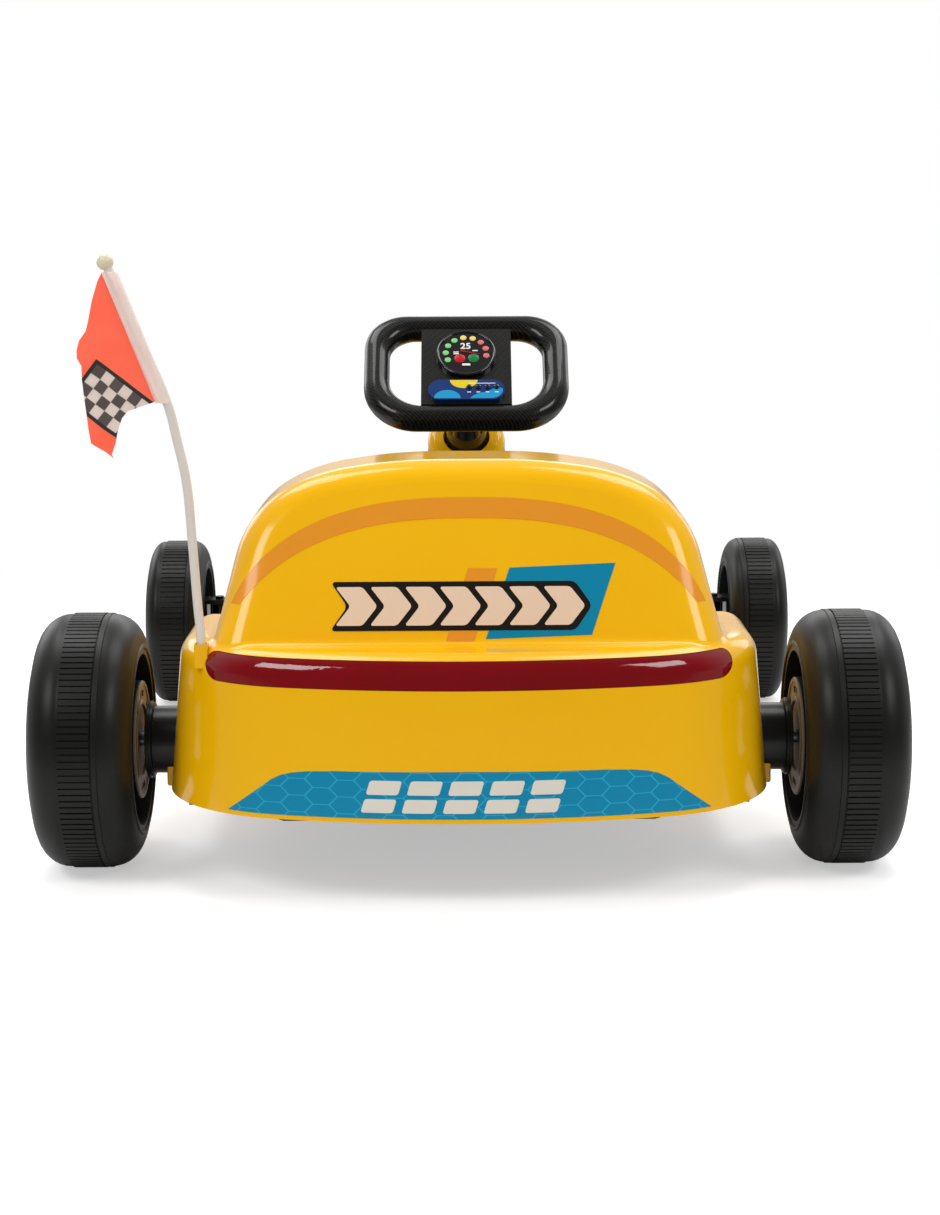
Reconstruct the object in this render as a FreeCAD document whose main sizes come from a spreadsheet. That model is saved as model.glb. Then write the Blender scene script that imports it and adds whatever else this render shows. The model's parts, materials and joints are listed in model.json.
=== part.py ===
"""Child's electric go-kart: tail body, seat, nose, wheels, steering linkage, drive and flag.

Row frame in millimetres: +Y is forward, +X is the driver's right, +Z is up.
The origin is on the floor, below the middle of the length.
"""

import FreeCAD, Part
import math
import os
import Sketcher

V = FreeCAD.Vector

# One row a size: alias, value in millimetres or degrees, what it is.
SIZES = [
    ("overall_length", 1020, "nose bumper to tail"),
    ("rear_overhang", 157, "tail behind the rear axle"),
    ("front_overhang", 163, "nose bumper ahead of the front axle"),
    ("rear_track", 648.6, "rear tyre centre to centre"),
    ("front_track", 660.8, "front tyre centre to centre"),
    ("rear_tyre_radius", 110, "over the ribbed band"),
    ("rear_tyre_width", 88, "over the side walls"),
    ("rear_rim_radius", 79, "where tyre and rim meet"),
    ("rear_shoulder", 0.95, "tyre shoulder radius, part of the tyre's depth"),
    ("rear_hub_radius", 51, "drive disc on the inner side"),
    ("front_tyre_radius", 93, "over the ribbed band"),
    ("front_tyre_width", 66, "over the side walls"),
    ("front_rim_radius", 66, "where tyre and rim meet"),
    ("front_shoulder", 0.7, "tyre shoulder radius, part of the tyre's depth"),
    ("front_hub_radius", 30, "boss on the inner side"),
    ("band_width", 30, "ribbed band round a tyre"),
    ("band_height", 1.5, "band over the smooth tread"),
    ("rim_wall", 5, "barrel of a rim"),
    ("hub_recess", 12, "wheel hub in from the tyre's outer face"),
    ("spoke_count", 5, "spokes in a wheel"),
    ("axle_radius", 6, "rear axle and front stub axles"),
    ("axle_clearance", 0.1, "hub bore over the axle"),
    ("shell_wall", 4, "yellow body mouldings"),
    ("ground_clearance", 74, "lower edge of the tail"),
    ("tail_gap", 24.3, "between the tail's lower edge and a rear tyre"),
    ("tail_lean", 11.5, "tail sides lean in up to the shelf"),
    ("tail_draft", 13, "tail face leans in up to the shelf"),
    ("tail_reach", 68, "front edge of the tail ahead of the rear axle"),
    ("tail_bow", 46, "tail face bows back from its corners"),
    ("tail_corner", 130.6, "rounding of the tail's corners in plan"),
    ("shelf_height", 208, "flat shelf round the hump"),
    ("shelf_edge_radius", 22, "rounding that carries the lamp"),
    ("shelf_width", 39, "hump's foot in from the tail's side"),
    ("hump_height", 352, "top of the hump"),
    ("hump_base_setback", 68, "hump foot forward of the tail"),
    ("hump_top_setback", 138, "hump crown forward of the tail"),
    ("hump_edge_radius", 30, "rounding round the hump's face"),
    ("hump_foot_radius", 9, "hollow at the hump's foot"),
    ("lamp_inset", 38.5, "lamp's end in from the tail's side"),
    ("lamp_drop", 4.8, "upper edge of the lamp below the shelf"),
    ("lamp_width", 22.8, "lower edge of the lamp to its upper edge"),
    ("lamp_gap", 0.4, "round the lens"),
    ("reflector_thick", 2.5, "reflector strip behind the lens"),
    ("reflector_lap", 6, "reflector strip beyond the window"),
    ("seat_inset", 78, "seat in from the tail's side"),
    ("seat_length", 223, "seat ahead of the tail"),
    ("seat_pan_height", 140, "top of the seat pan"),
    ("seat_wall", 5, "seat moulding"),
    ("seat_bolster", 14, "side bolster"),
    ("floor_low", 58, "underside of the floor pan"),
    ("floor_thick", 5, "floor pan"),
    ("pod_width", 64, "side pod"),
    ("pod_inset", 12, "outer face of a pod in from the tail's side"),
    ("pod_top", 150, "top of a side pod"),
    ("nose_length", 304, "nose from its rear edge to the bumper"),
    ("nose_taper", 48, "nose narrows on each side to its tip"),
    ("cowl_half_width", 74, "cowl between the legs"),
    ("pedal_width", 44, "accelerator pedal, midway between cowl and pod"),
    ("nose_edge_radius", 22, "rounding along the nose's brow"),
    ("column_rake", 45, "steering column from level"),
    ("wheel_height", 403.1, "steering wheel centre"),
    ("crank_height", 117.1, "crank at the column's foot"),
    ("crank_setback", 92.1, "crank behind the front axle"),
    ("boss_start", 97, "cowl mouth down the column"),
    ("boss_length", 22, "cowl boss"),
    ("boss_radius", 39, "cowl boss outside"),
    ("sleeve_radius", 20.5, "plastic column sleeve"),
    ("sleeve_clearance", 3, "sleeve to the boss mouth"),
    ("shaft_radius", 6, "steel steering shaft"),
    ("crank_radius", 30, "crank at the shaft's foot"),
    ("crank_thick", 8, "crank plate"),
    ("crank_pin_radius", 5, "pin in the tie rod's slot"),
    ("bearing_rise", 41, "lower column bearing above the crank"),
    ("rim_half_width", 87.5, "steering wheel ring centre line"),
    ("rim_half_height", 58, "steering wheel ring centre line"),
    ("grip_radius", 12.5, "steering wheel ring"),
    ("panel_half_width", 44, "steering wheel panel"),
    ("panel_thick", 20, "steering wheel panel"),
    ("dial_radius", 29, "dial bezel"),
    ("dial_offset", 13.5, "dial above the wheel's centre"),
    ("strip_offset", 33, "control strip below the centre"),
    ("kingpin_inset", 44.4, "kingpin in from the middle of a front tyre"),
    ("kingpin_radius", 5, "kingpin bolt"),
    ("arm_length", 50, "steering arm"),
    ("yoke_low", 67, "underside of the yoke"),
    ("yoke_high", 119, "top of the yoke"),
    ("yoke_thick", 5, "yoke plate"),
    ("tie_low", 74, "underside of the tie rod"),
    ("tie_thick", 5, "tie rod bar"),
    ("tie_pin_radius", 4, "pin at a steering arm"),
    ("pin_clearance", 0.3, "tie rod eye over its pin"),
    ("neck_radius", 29, "drive housing neck"),
    ("neck_inset", 47.3, "neck's end in from the middle of a rear tyre"),
    ("pole_radius", 4.6, "flag pole"),
    ("socket_inset", 35, "flag socket in from the tail's side"),
    ("socket_setback", 80, "flag socket forward of the tail"),
    ("socket_half", 5.6, "flag socket, square"),
    ("flag_thick", 1.6, "cloth flag"),
    ("flag_fold", 3.5, "folds of the flag, each way"),
]

doc = FreeCAD.newDocument("electric_go_kart")
sheet = doc.addObject("Spreadsheet::Sheet", "sizes")
for row, (alias, number, note) in enumerate(SIZES, start=1):
    sheet.set(f"A{row}", alias)
    sheet.set(f"B{row}", str(number))
    sheet.set(f"C{row}", note)
    sheet.setAlias(f"B{row}", alias)
doc.recompute()

# Places that several pieces share, as expressions of the sheet.
TAIL = "(-sizes.overall_length / 2)"
REAR_Y = "(sizes.rear_overhang - sizes.overall_length / 2)"
FRONT_Y = "(sizes.overall_length / 2 - sizes.front_overhang)"
NOSE = "(sizes.overall_length / 2)"
TAIL_FRONT = f"({REAR_Y} + sizes.tail_reach)"
SEAT_FRONT = f"({TAIL_FRONT} + sizes.seat_length)"
NOSE_BACK = f"({NOSE} - sizes.nose_length)"
TAIL_HALF = "(sizes.rear_track / 2 - sizes.rear_tyre_width / 2 - sizes.tail_gap)"
TAIL_TOP_HALF = f"({TAIL_HALF} - sizes.tail_lean)"
SEAT_HALF = f"({TAIL_HALF} - sizes.seat_inset)"
POD_OUTER = f"({TAIL_HALF} - sizes.pod_inset)"
POD_INNER = f"({POD_OUTER} - sizes.pod_width)"
NOSE_HALF = f"({POD_INNER} - 4)"
PEDAL_X = f"(({POD_INNER} + sizes.cowl_half_width - sizes.pedal_width) / 2)"
KINGPIN = "(sizes.front_track / 2 - sizes.kingpin_inset)"
LAMP_HIGH = "(sizes.shelf_height - sizes.lamp_drop)"
LAMP_LOW = f"({LAMP_HIGH} - sizes.lamp_width)"
FLOOR_TOP = "(sizes.floor_low + sizes.floor_thick)"
HUB_BORE = "(sizes.axle_radius + sizes.axle_clearance)"
CRANK_AT = "((sizes.wheel_height - sizes.crank_height) / sin(sizes.column_rake))"
WHEEL_Y = f"({FRONT_Y} - sizes.crank_setback - {CRANK_AT} * cos(sizes.column_rake))"
SIDES = [("left", -1), ("right", 1)]
NODES = []


def size(expression):
    """The value of an expression of the sheet, in millimetres or degrees."""
    found = sheet.evalExpression(str(expression).replace("sizes.", ""))
    return float(getattr(found, "Value", found))


def keep(piece, label):
    """Names a finished piece, which is then written to its own file."""
    piece.Label = label
    NODES.append(piece)
    return piece


def place(piece, x="0", y="0", z="0", axis=None, angle="0"):
    """Sets a piece's place, and its turn about an axis, from expressions."""
    if axis is not None:
        piece.Placement = FreeCAD.Placement(V(), FreeCAD.Rotation(axis, size(angle)))
    if axis is not None and "sizes" in angle:
        piece.setExpression("Placement.Rotation.Angle", angle)
    for way, expression in (("x", x), ("y", y), ("z", z)):
        piece.setExpression(f"Placement.Base.{way}", expression)
    return piece


def rounded_corner(before, corner, after, radius):
    """Start, middle, end and centre of the arc that rounds a corner."""
    into = (before - corner).normalize()
    out = (after - corner).normalize()
    half = into.getAngle(out) / 2
    reach = radius / math.tan(half)
    bisector = (into + out).normalize()
    centre = corner + bisector * (radius / math.sin(half))
    return corner + into * reach, centre - bisector * radius, corner + out * reach, centre


def wire(corners, lift):
    """A closed wire of lines and tangent arcs. Corners are (a, b) or (a, b, radius).

    Where two roundings would meet on one side, both shrink until they fit.
    """
    points = [V(c[0], c[1], 0) for c in corners]
    count = len(points)
    reaches = []
    for i, corner in enumerate(corners):
        radius = corner[2] if len(corner) > 2 else 0
        into = points[i - 1] - points[i]
        out = points[(i + 1) % count] - points[i]
        reaches.append(radius / math.tan(into.getAngle(out) / 2))
    shares = []
    for i in range(count):
        j = (i + 1) % count
        room = points[i].distanceToPoint(points[j])
        shares.append(min(1, 0.995 * room / max(reaches[i] + reaches[j], 1e-9)))
    radii = [
        corner[2] * min(shares[i - 1], shares[i]) if len(corner) > 2 else 0
        for i, corner in enumerate(corners)
    ]
    ends = []
    for i, radius in enumerate(radii):
        if radius:
            ends.append(rounded_corner(points[i - 1], points[i], points[(i + 1) % count], radius)[:3])
        else:
            ends.append((points[i], None, points[i]))
    edges = []
    for i, (start, middle, end) in enumerate(ends):
        if middle is not None:
            edges.append(Part.Arc(lift(start), lift(middle), lift(end)).toShape())
        following = ends[(i + 1) % count][0]
        if end.distanceToPoint(following) > 1e-6:
            edges.append(Part.LineSegment(lift(end), lift(following)).toShape())
    return Part.Wire(edges)


def level(z):
    """Lifts plan points (x, y) to height z."""
    return lambda p: V(p.x, p.y, z)


def across(x):
    """Lifts side view points (y, z) to the plane at x."""
    return lambda p: V(x, p.x, p.y)


def upright(y):
    """Lifts rear view points (x, z) to the plane at y."""
    return lambda p: V(p.x, y, p.y)


def mirrored(half):
    """A closed outline from its right half, listed from one end of the middle line to the other."""
    return half + [(-c[0], *c[1:]) for c in reversed(half) if abs(c[0]) > 1e-9]


def feature(label, shape):
    """A document object that holds a shape made with Part's own functions."""
    piece = doc.addObject("Part::Feature", label)
    piece.Shape = shape
    piece.Placement = FreeCAD.Placement()
    return keep(piece, label)


def origin_plane(body, role):
    return next(f for f in body.Origin.OriginFeatures if f.Role == role)


def sketch(body, role, name, corners, offset="0"):
    """A constrained sketch of lines and tangent arcs on a plane of the body's origin.

    Corners are expressions (a, b) or (a, b, radius); each is a corner of the unrounded outline.
    """
    sk = body.newObject("Sketcher::SketchObject", name)
    sk.AttachmentSupport = (origin_plane(body, role), [""])
    sk.MapMode = "FlatFace"
    if offset != "0":
        sk.setExpression("AttachmentOffset.Base.z", offset)
    outline(sk, corners)
    return sk


def outline(sk, corners):
    """Adds one closed outline to a sketch, each corner bound to its expressions."""
    points = [V(size(c[0]), size(c[1]), 0) for c in corners]
    radii = [size(c[2]) if len(c) > 2 else 0 for c in corners]
    count = len(points)
    arcs = {
        i: rounded_corner(points[i - 1], points[i], points[(i + 1) % count], radius)
        for i, radius in enumerate(radii)
        if radius
    }
    first = sk.GeometryCount
    for i in range(count):
        j = (i + 1) % count
        start = arcs[i][2] if i in arcs else points[i]
        end = arcs[j][0] if j in arcs else points[j]
        sk.addGeometry(Part.LineSegment(start, end), False)

    def bind(kind, geometry, position, number, expression):
        index = sk.addConstraint(Sketcher.Constraint(kind, geometry, position, number))
        sk.setExpression(f"Constraints[{index}]", expression)

    for i, corner in enumerate(corners):
        line_in, line_out = first + (i - 1) % count, first + i
        if i not in arcs:
            sk.addConstraint(Sketcher.Constraint("Coincident", line_in, 2, line_out, 1))
            bind("DistanceX", line_out, 1, points[i].x, corner[0])
            bind("DistanceY", line_out, 1, points[i].y, corner[1])
            continue
        start, middle, end, centre = arcs[i]
        arc = sk.addGeometry(Part.ArcOfCircle(Part.Circle(centre, V(0, 0, 1), radii[i]), *swing(start, middle, end, centre)), False)
        begins = 1 if sk.getPoint(arc, 1).distanceToPoint(start) < 1e-5 else 2
        sk.addConstraint(Sketcher.Constraint("Tangent", line_in, 2, arc, begins))
        sk.addConstraint(Sketcher.Constraint("Tangent", arc, 3 - begins, line_out, 1))
        index = sk.addConstraint(Sketcher.Constraint("Radius", arc, radii[i]))
        sk.setExpression(f"Constraints[{index}]", corner[2])
        mark = sk.addGeometry(Part.Point(points[i]), True)
        sk.addConstraint(Sketcher.Constraint("PointOnObject", mark, 1, line_in))
        sk.addConstraint(Sketcher.Constraint("PointOnObject", mark, 1, line_out))
        bind("DistanceX", mark, 1, points[i].x, corner[0])
        bind("DistanceY", mark, 1, points[i].y, corner[1])


def swing(start, middle, end, centre):
    """First and last angle of the anticlockwise arc through three points."""
    turn = (middle - start).cross(end - middle).z
    first, last = (start, end) if turn > 0 else (end, start)
    angles = [math.atan2(p.y - centre.y, p.x - centre.x) for p in (first, last)]
    return angles[0], angles[1] if angles[1] > angles[0] else angles[1] + 2 * math.pi


def circles(sk, *rounds):
    """Adds circles to a sketch, each an (a, b, radius) of expressions."""
    for a, b, radius in rounds:
        ring = sk.addGeometry(Part.Circle(V(size(a), size(b), 0), V(0, 0, 1), size(radius)), False)
        for kind, position, expression in (("DistanceX", 3, a), ("DistanceY", 3, b)):
            index = sk.addConstraint(Sketcher.Constraint(kind, ring, position, size(expression)))
            sk.setExpression(f"Constraints[{index}]", expression)
        index = sk.addConstraint(Sketcher.Constraint("Radius", ring, size(radius)))
        sk.setExpression(f"Constraints[{index}]", radius)


def circle_sketch(body, role, name, rounds, offset="0"):
    """A sketch of circles on a plane of the body's origin."""
    sk = body.newObject("Sketcher::SketchObject", name)
    sk.AttachmentSupport = (origin_plane(body, role), [""])
    sk.MapMode = "FlatFace"
    if offset != "0":
        sk.setExpression("AttachmentOffset.Base.z", offset)
    circles(sk, *rounds)
    return sk


def body(name):
    return doc.addObject("PartDesign::Body", name)


def pad(part, profile, length, middle=False, back=False):
    grown = part.newObject("PartDesign::Pad", f"pad_{profile.Name}")
    grown.Profile = profile
    grown.setExpression("Length", length)
    grown.Midplane = middle
    grown.Reversed = back
    profile.Visibility = False
    part.Tip = grown
    return grown


def pocket(part, profile, length, middle=False, back=False):
    """A pocket that must take material away."""
    doc.recompute()
    before = part.Shape.Volume
    cut = part.newObject("PartDesign::Pocket", f"pocket_{profile.Name}")
    cut.Profile = profile
    cut.setExpression("Length", length)
    cut.Midplane = middle
    cut.Reversed = back
    part.Tip = cut
    doc.recompute()
    if part.Shape.Volume > before - 1:
        raise RuntimeError(f"{cut.Name} takes nothing away")
    return cut


def revolve(part, profile, axis="H_Axis"):
    turned = part.newObject("PartDesign::Revolution", f"revolve_{profile.Name}")
    turned.Profile = profile
    turned.ReferenceAxis = (profile, [axis])
    turned.Angle = 360
    part.Tip = turned
    return turned


def polar(part, original, count, about):
    """Repeats a feature round an axis of the body's origin."""
    ring = part.newObject("PartDesign::PolarPattern", f"polar_{original.Name}")
    ring.Originals = [original]
    ring.Axis = (origin_plane(part, about), [""])
    ring.Angle = 360
    ring.setExpression("Occurrences", count)
    part.Tip = ring
    return ring


def fillet(part, radius, chosen):
    """Rounds the edges of the body's last feature that the test picks."""
    doc.recompute()
    last = part.Tip
    names = [f"Edge{i}" for i, edge in enumerate(last.Shape.Edges, start=1) if chosen(edge)]
    if not names:
        raise RuntimeError(f"no edge to round on {last.Name}")
    soft = part.newObject("PartDesign::Fillet", f"fillet_{last.Name}")
    soft.Base = (last, names)
    soft.setExpression("Radius", radius)
    part.Tip = soft
    return soft


def rod(label, radius, length, x="0", y="0", z="0", axis=None, angle="0", final=True):
    """A round bar, from its first end along its own +Z."""
    bar = doc.addObject("Part::Cylinder", label)
    bar.setExpression("Radius", radius)
    bar.setExpression("Height", length)
    place(bar, x, y, z, axis, angle)
    return keep(bar, label) if final else bar


def block(label, length, width, height, x="0", y="0", z="0", final=True):
    """A box from its lowest corner."""
    box = doc.addObject("Part::Box", label)
    for name, expression in (("Length", length), ("Width", width), ("Height", height)):
        box.setExpression(name, expression)
    place(box, x, y, z)
    return keep(box, label) if final else box


def fuse(label, *pieces, final=True):
    joined = doc.addObject("Part::MultiFuse", label)
    joined.Shapes = list(pieces)
    joined.Refine = True
    return keep(joined, label) if final else joined


def cut(label, base, tool, final=True):
    left = doc.addObject("Part::Cut", label)
    left.Base = base
    left.Tool = tool
    left.Refine = True
    return keep(left, label) if final else left


# Tail body


def tail_plan(inset, half_width, setback, height):
    """Plan outline of the tail at one height, moved in by inset: a bowed face and round corners."""
    tail = size(TAIL) + inset + setback
    half = half_width - inset
    share = half / size(TAIL_HALF)
    front = size(TAIL_FRONT) + (60 if inset else 0)
    return wire(
        mirrored([
            (0.31 * half, tail, 2.4 * half),
            (half, tail + size("sizes.tail_bow") * share, size("sizes.tail_corner") * share),
            (half, front),
        ]),
        level(height),
    )


def hump_outline(inset, low):
    """Rear view outline of the hump, a flat dome, moved in by inset."""
    outer = size(TAIL_HALF) - size("sizes.shelf_width")
    foot = outer - inset
    top = size("sizes.hump_height") - inset
    rise = top - size("sizes.shelf_height") + inset
    return mirrored([
        (foot * 0.275, top, outer * 2.11 - inset),
        (foot * 0.584, top - rise * 0.069, outer * 0.76 - inset),
        (foot * 0.857, top - rise * 0.267, outer * 0.406 - inset),
        (foot, low),
    ])


def tail_form(inset):
    """The tail's outer form, or with an inset the hollow inside it."""
    floor = size("sizes.ground_clearance") - (20 if inset else 0)
    shelf = size("sizes.shelf_height") - inset
    half = size(TAIL_HALF)
    lower = tail_plan(inset, half, 0, floor)
    upper = tail_plan(inset, size(TAIL_TOP_HALF), size("sizes.tail_draft"), shelf)
    apron = Part.makeLoft([lower, upper], True, True)
    front = size(TAIL_FRONT)
    rim = [
        e for e in apron.Edges
        if min(v.Z for v in e.Vertexes) > shelf - 0.01 and min(v.Y for v in e.Vertexes) < front - 1
    ]
    apron = apron.makeFillet(size("sizes.shelf_edge_radius") - inset, rim)
    foot_y = size(TAIL) + size("sizes.hump_base_setback") + inset
    crown_y = size(TAIL) + size("sizes.hump_top_setback") + inset
    top = size("sizes.hump_height")
    low = shelf - 20
    slope = (crown_y - foot_y) / (top - size("sizes.shelf_height"))
    profile = Part.Face(wire(hump_outline(inset, low), upright(foot_y - 40)))
    hump = profile.extrude(V(0, front + (60 if inset else 0) - foot_y + 40, 0))
    wedge = Part.Face(wire([
        (foot_y - 60, low - 5),
        (foot_y - slope * 25, low - 5),
        (crown_y + slope * 60, top - inset + 60),
        (foot_y - 60, top - inset + 60),
    ], across(-half))).extrude(V(2 * half, 0, 0))
    hump = hump.cut(wedge)
    face = [
        e for e in hump.Edges
        if e.CenterOfMass.y < crown_y + 8 and min(v.Z for v in e.Vertexes) > low - 1
        and e.CenterOfMass.z > low + 1 and max(v.Y for v in e.Vertexes) < crown_y + 20
    ]
    hump = hump.makeFillet(size("sizes.hump_edge_radius") - inset, face)
    return apron.fuse(hump).removeSplitter()


def tail_tab(side):
    """The low tab on the tail's side, where it clips to the floor pan."""
    low = size("sizes.ground_clearance")
    reach = size(TAIL_HALF) + 3.2
    tab = Part.makeBox(12, 74, 37, V(reach - 12, size(TAIL_FRONT) - 90, low))
    tab = tab.makeFillet(2, [e for e in tab.Edges if abs(e.CenterOfMass.x - reach) < 0.1])
    return tab if side > 0 else tab.mirror(V(), V(1, 0, 0))


def tail_shape():
    """The tail shell with its hollow hump foot, drive openings and flag hole."""
    outer = tail_form(0)
    shelf = size("sizes.shelf_height")
    foot = [
        e for e in outer.Edges
        if abs(e.CenterOfMass.z - shelf) < 0.2 and e.Curve.TypeId in ("Part::GeomLine", "Part::GeomEllipse")
        and e.CenterOfMass.y < size(TAIL_FRONT) - 1
    ]
    outer = outer.makeFillet(size("sizes.hump_foot_radius"), foot)
    skin = outer.fuse([tail_tab(side) for name, side in SIDES]).cut(tail_form(size("sizes.shell_wall")))
    neck = size("sizes.neck_radius") + 0.3
    for name, side in SIDES:
        start = V(side * (size(TAIL_HALF) - 56), size(REAR_Y), size("sizes.rear_tyre_radius"))
        skin = skin.cut(Part.makeCylinder(neck, 80, start, V(side, 0, 0)))
    return skin.cut(socket_hole())


def socket_hole():
    """The square hole in which the flag's socket stands."""
    half = size("sizes.socket_half") + 0.15
    corner = V(size(SOCKET_X) - half, size(SOCKET_Y) - half, size("sizes.shelf_height") - 44)
    return Part.makeBox(2 * half, 2 * half, 80, corner)


def lamp_prism(grow):
    """The lamp's window with round ends, grown on all sides, through the tail's face."""
    low = size(LAMP_LOW) - grow
    high = size(LAMP_HIGH) + grow
    half = size(TAIL_HALF) - size("sizes.lamp_inset") + grow
    radius = (high - low) / 2 - 0.01
    corners = [(half, low, radius), (half, high, radius), (-half, high, radius), (-half, low, radius)]
    return Part.Face(wire(corners, upright(size(TAIL) - 5))).extrude(V(0, 118, 0))


def lamp_shapes(skin):
    """Splits the lamp out of the tail skin: the holed skin, the lens and the strip behind it."""
    wall = size("sizes.shell_wall")
    holed = skin.cut(lamp_prism(0))
    lens = skin.common(lamp_prism(-size("sizes.lamp_gap")))
    strip = tail_form(wall).cut(tail_form(wall + size("sizes.reflector_thick")))
    strip = strip.common(lamp_prism(size("sizes.reflector_lap"))).cut(socket_hole())
    return holed, lens, max(strip.Solids, key=lambda solid: solid.Volume)


SOCKET_X = f"(sizes.socket_inset - {TAIL_HALF})"
SOCKET_Y = f"({TAIL} + sizes.socket_setback)"
holed_tail, lens, strip = lamp_shapes(tail_shape())
feature("tail_body", holed_tail)
feature("tail_lamp", lens)
feature("lamp_reflector", strip)

# Seat, floor pan and side pods


def seat_shape():
    """Bucket moulding: a side view profile kept within the hump's outline, hollow below."""
    back = size(TAIL_FRONT)
    front = size(SEAT_FRONT)
    floor = size(FLOOR_TOP)
    pan = size("sizes.seat_pan_height")
    half = size(SEAT_HALF)
    wall = size("sizes.seat_wall")
    side = Part.Face(wire([
        (back, floor),
        (front, floor, 10),
        (front, pan + 22, 14),
        (back + 92, pan + 32, 60),
        (back + 50, pan + 186, 16),
        (back, pan + 196),
    ], across(-half))).extrude(V(2 * half, 0, 0))
    top = size("sizes.hump_height")
    dome = Part.Face(wire(
        mirrored([(50, top - 20, 240), (half * 0.82, top - 48, 60), (half, top - 130, 90), (half, floor)]),
        upright(back - 1),
    ))
    seat = side.common(dome.extrude(V(0, 400, 0)))
    bolster = size("sizes.seat_bolster")
    hollow = Part.Face(wire([
        (front + 60, pan),
        (back + 70, pan, 45),
        (back + 12, size("sizes.hump_height") + 20),
        (front + 60, size("sizes.hump_height") + 20),
    ], across(bolster - half))).extrude(V(2 * half - 2 * bolster, 0, 0))
    soft = [e for e in hollow.Edges if abs(abs(e.CenterOfMass.x) - half + bolster) < 0.1 and e.CenterOfMass.y < front + 30 and e.CenterOfMass.z < top - 8]
    seat = seat.cut(hollow.makeFillet(20, soft))
    under = Part.makeBox(2 * half - 2 * wall, front - back - 2 * wall, pan - 9 - floor + 5, V(wall - half, back + wall, floor - 5))
    return seat.cut(under)


feature("seat", seat_shape())

pan = body("floor_pan")
PAN_REAR_HALF = f"{TAIL_TOP_HALF} - sizes.shell_wall - 4"
PAN_HALF = [
    ("0", f"{TAIL} + 75"),
    (PAN_REAR_HALF, f"{TAIL} + 75", "50"),
    (PAN_REAR_HALF, TAIL_FRONT),
    (POD_INNER, TAIL_FRONT),
    (POD_INNER, f"{NOSE_BACK} + 56"),
    ("60", f"{NOSE_BACK} + 56"),
    ("60", f"{FRONT_Y} + 40"),
    ("0", f"{FRONT_Y} + 40"),
]


def both(half):
    """A closed outline in expressions from its right half, without the points on the middle line."""
    right = [c for c in half if c[0] != "0"]
    return right + [(f"-({c[0]})", *c[1:]) for c in reversed(right)]


pad(pan, sketch(pan, "XY_Plane", "plan", both(PAN_HALF), "sizes.floor_low"), "sizes.floor_thick")
saddle = sketch(pan, "XY_Plane", "saddle", both([("0", "0"), ("60", f"{FRONT_Y} - 14"), ("60", f"{FRONT_Y} + 14")]), FLOOR_TOP)
pad(pan, saddle, f"sizes.front_tyre_radius - 8 - {FLOOR_TOP}")
keep(pan, "floor_pan")

POD_FRONT = f"({NOSE_BACK} - 10)"
JACK = (f"(46 - {TAIL_HALF})", f"({REAR_Y} + 233)")

for name, side in SIDES:
    pod = body(f"pod_{name}")
    s = "" if side > 0 else "-"

    def skin_outline(inset, low):
        return [
            (f"{s}({POD_INNER} + {inset})", low),
            (f"{s}({POD_OUTER} - {inset})", low),
            (f"{s}({POD_OUTER} - {inset} - 2)", f"sizes.pod_top - {inset}", f"24 - {inset}"),
            (f"{s}({POD_INNER} + {inset} + 3)", f"sizes.pod_top - {inset}", f"12 - {inset}"),
        ]

    outer = sketch(pod, "XZ_Plane", "outer", skin_outline("0", "sizes.floor_low"), f"-{POD_FRONT}")
    pad(pod, outer, f"{POD_FRONT} - {TAIL_FRONT}")
    doc.recompute()
    fillet(pod, "22", lambda e: e.CenterOfMass.y > size(POD_FRONT) - 0.1 and e.CenterOfMass.z > size(FLOOR_TOP))
    inner = sketch(pod, "XZ_Plane", "inner", skin_outline("sizes.shell_wall", "sizes.floor_low - 5"), f"-({POD_FRONT} - 24)")
    pocket(pod, inner, f"{POD_FRONT} - {TAIL_FRONT} - 28", back=True)
    if side < 0:
        jack_hole = circle_sketch(pod, "XY_Plane", "jack_hole", [(*JACK, "8")], "sizes.pod_top")
        pocket(pod, jack_hole, "10")
    keep(pod, f"side_pod_{name}")

pack_box = body("battery")
cell = sketch(pack_box, "XY_Plane", "plan", both([("0", "0"), ("75.5", f"{REAR_Y} + 139"), ("75.5", f"{REAR_Y} + 233")]), FLOOR_TOP)
pad(pack_box, cell, "65")
keep(pack_box, "battery")

# Nose and cowl


def column_point(s, up=0):
    """A point down the steering column, and so far above its axis, as (y, z)."""
    rake = math.radians(size("sizes.column_rake"))
    y = size(WHEEL_Y) + s * math.cos(rake) + up * math.sin(rake)
    z = size("sizes.wheel_height") - s * math.sin(rake) + up * math.cos(rake)
    return V(0, y, z)


COLUMN = V(0, math.cos(math.radians(size("sizes.column_rake"))), -math.sin(math.radians(size("sizes.column_rake"))))


def cowl_form(inset):
    """Cowl outside, or the hollow in it: a loft from the boss down to a block between the legs."""
    rake = math.radians(size("sizes.column_rake"))
    neck = size("sizes.boss_radius") - inset
    foot = size("sizes.cowl_half_width") - inset
    axle = size(FRONT_Y)
    middle = column_point(size("sizes.boss_start") + size("sizes.boss_length"))
    low = size(FLOOR_TOP) - (10 if inset else 0)
    high = size(FLOOR_TOP) + 84
    ends = (axle - 190 + inset, axle - 48 - inset)
    ring = wire(
        [(neck, -neck, neck), (neck, neck, neck), (-neck, neck, neck), (-neck, -neck, neck)],
        lambda p: middle + V(p.x, p.y * math.sin(rake), p.y * math.cos(rake)),
    )
    block = [(foot, ends[0], 34), (foot, ends[1], 20), (-foot, ends[1], 20), (-foot, ends[0], 34)]
    slope = Part.makeLoft([ring, wire(block, level(high))], True, True)
    return slope.fuse(Part.Face(wire(block, level(low))).extrude(V(0, 0, high - low)))


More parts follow.
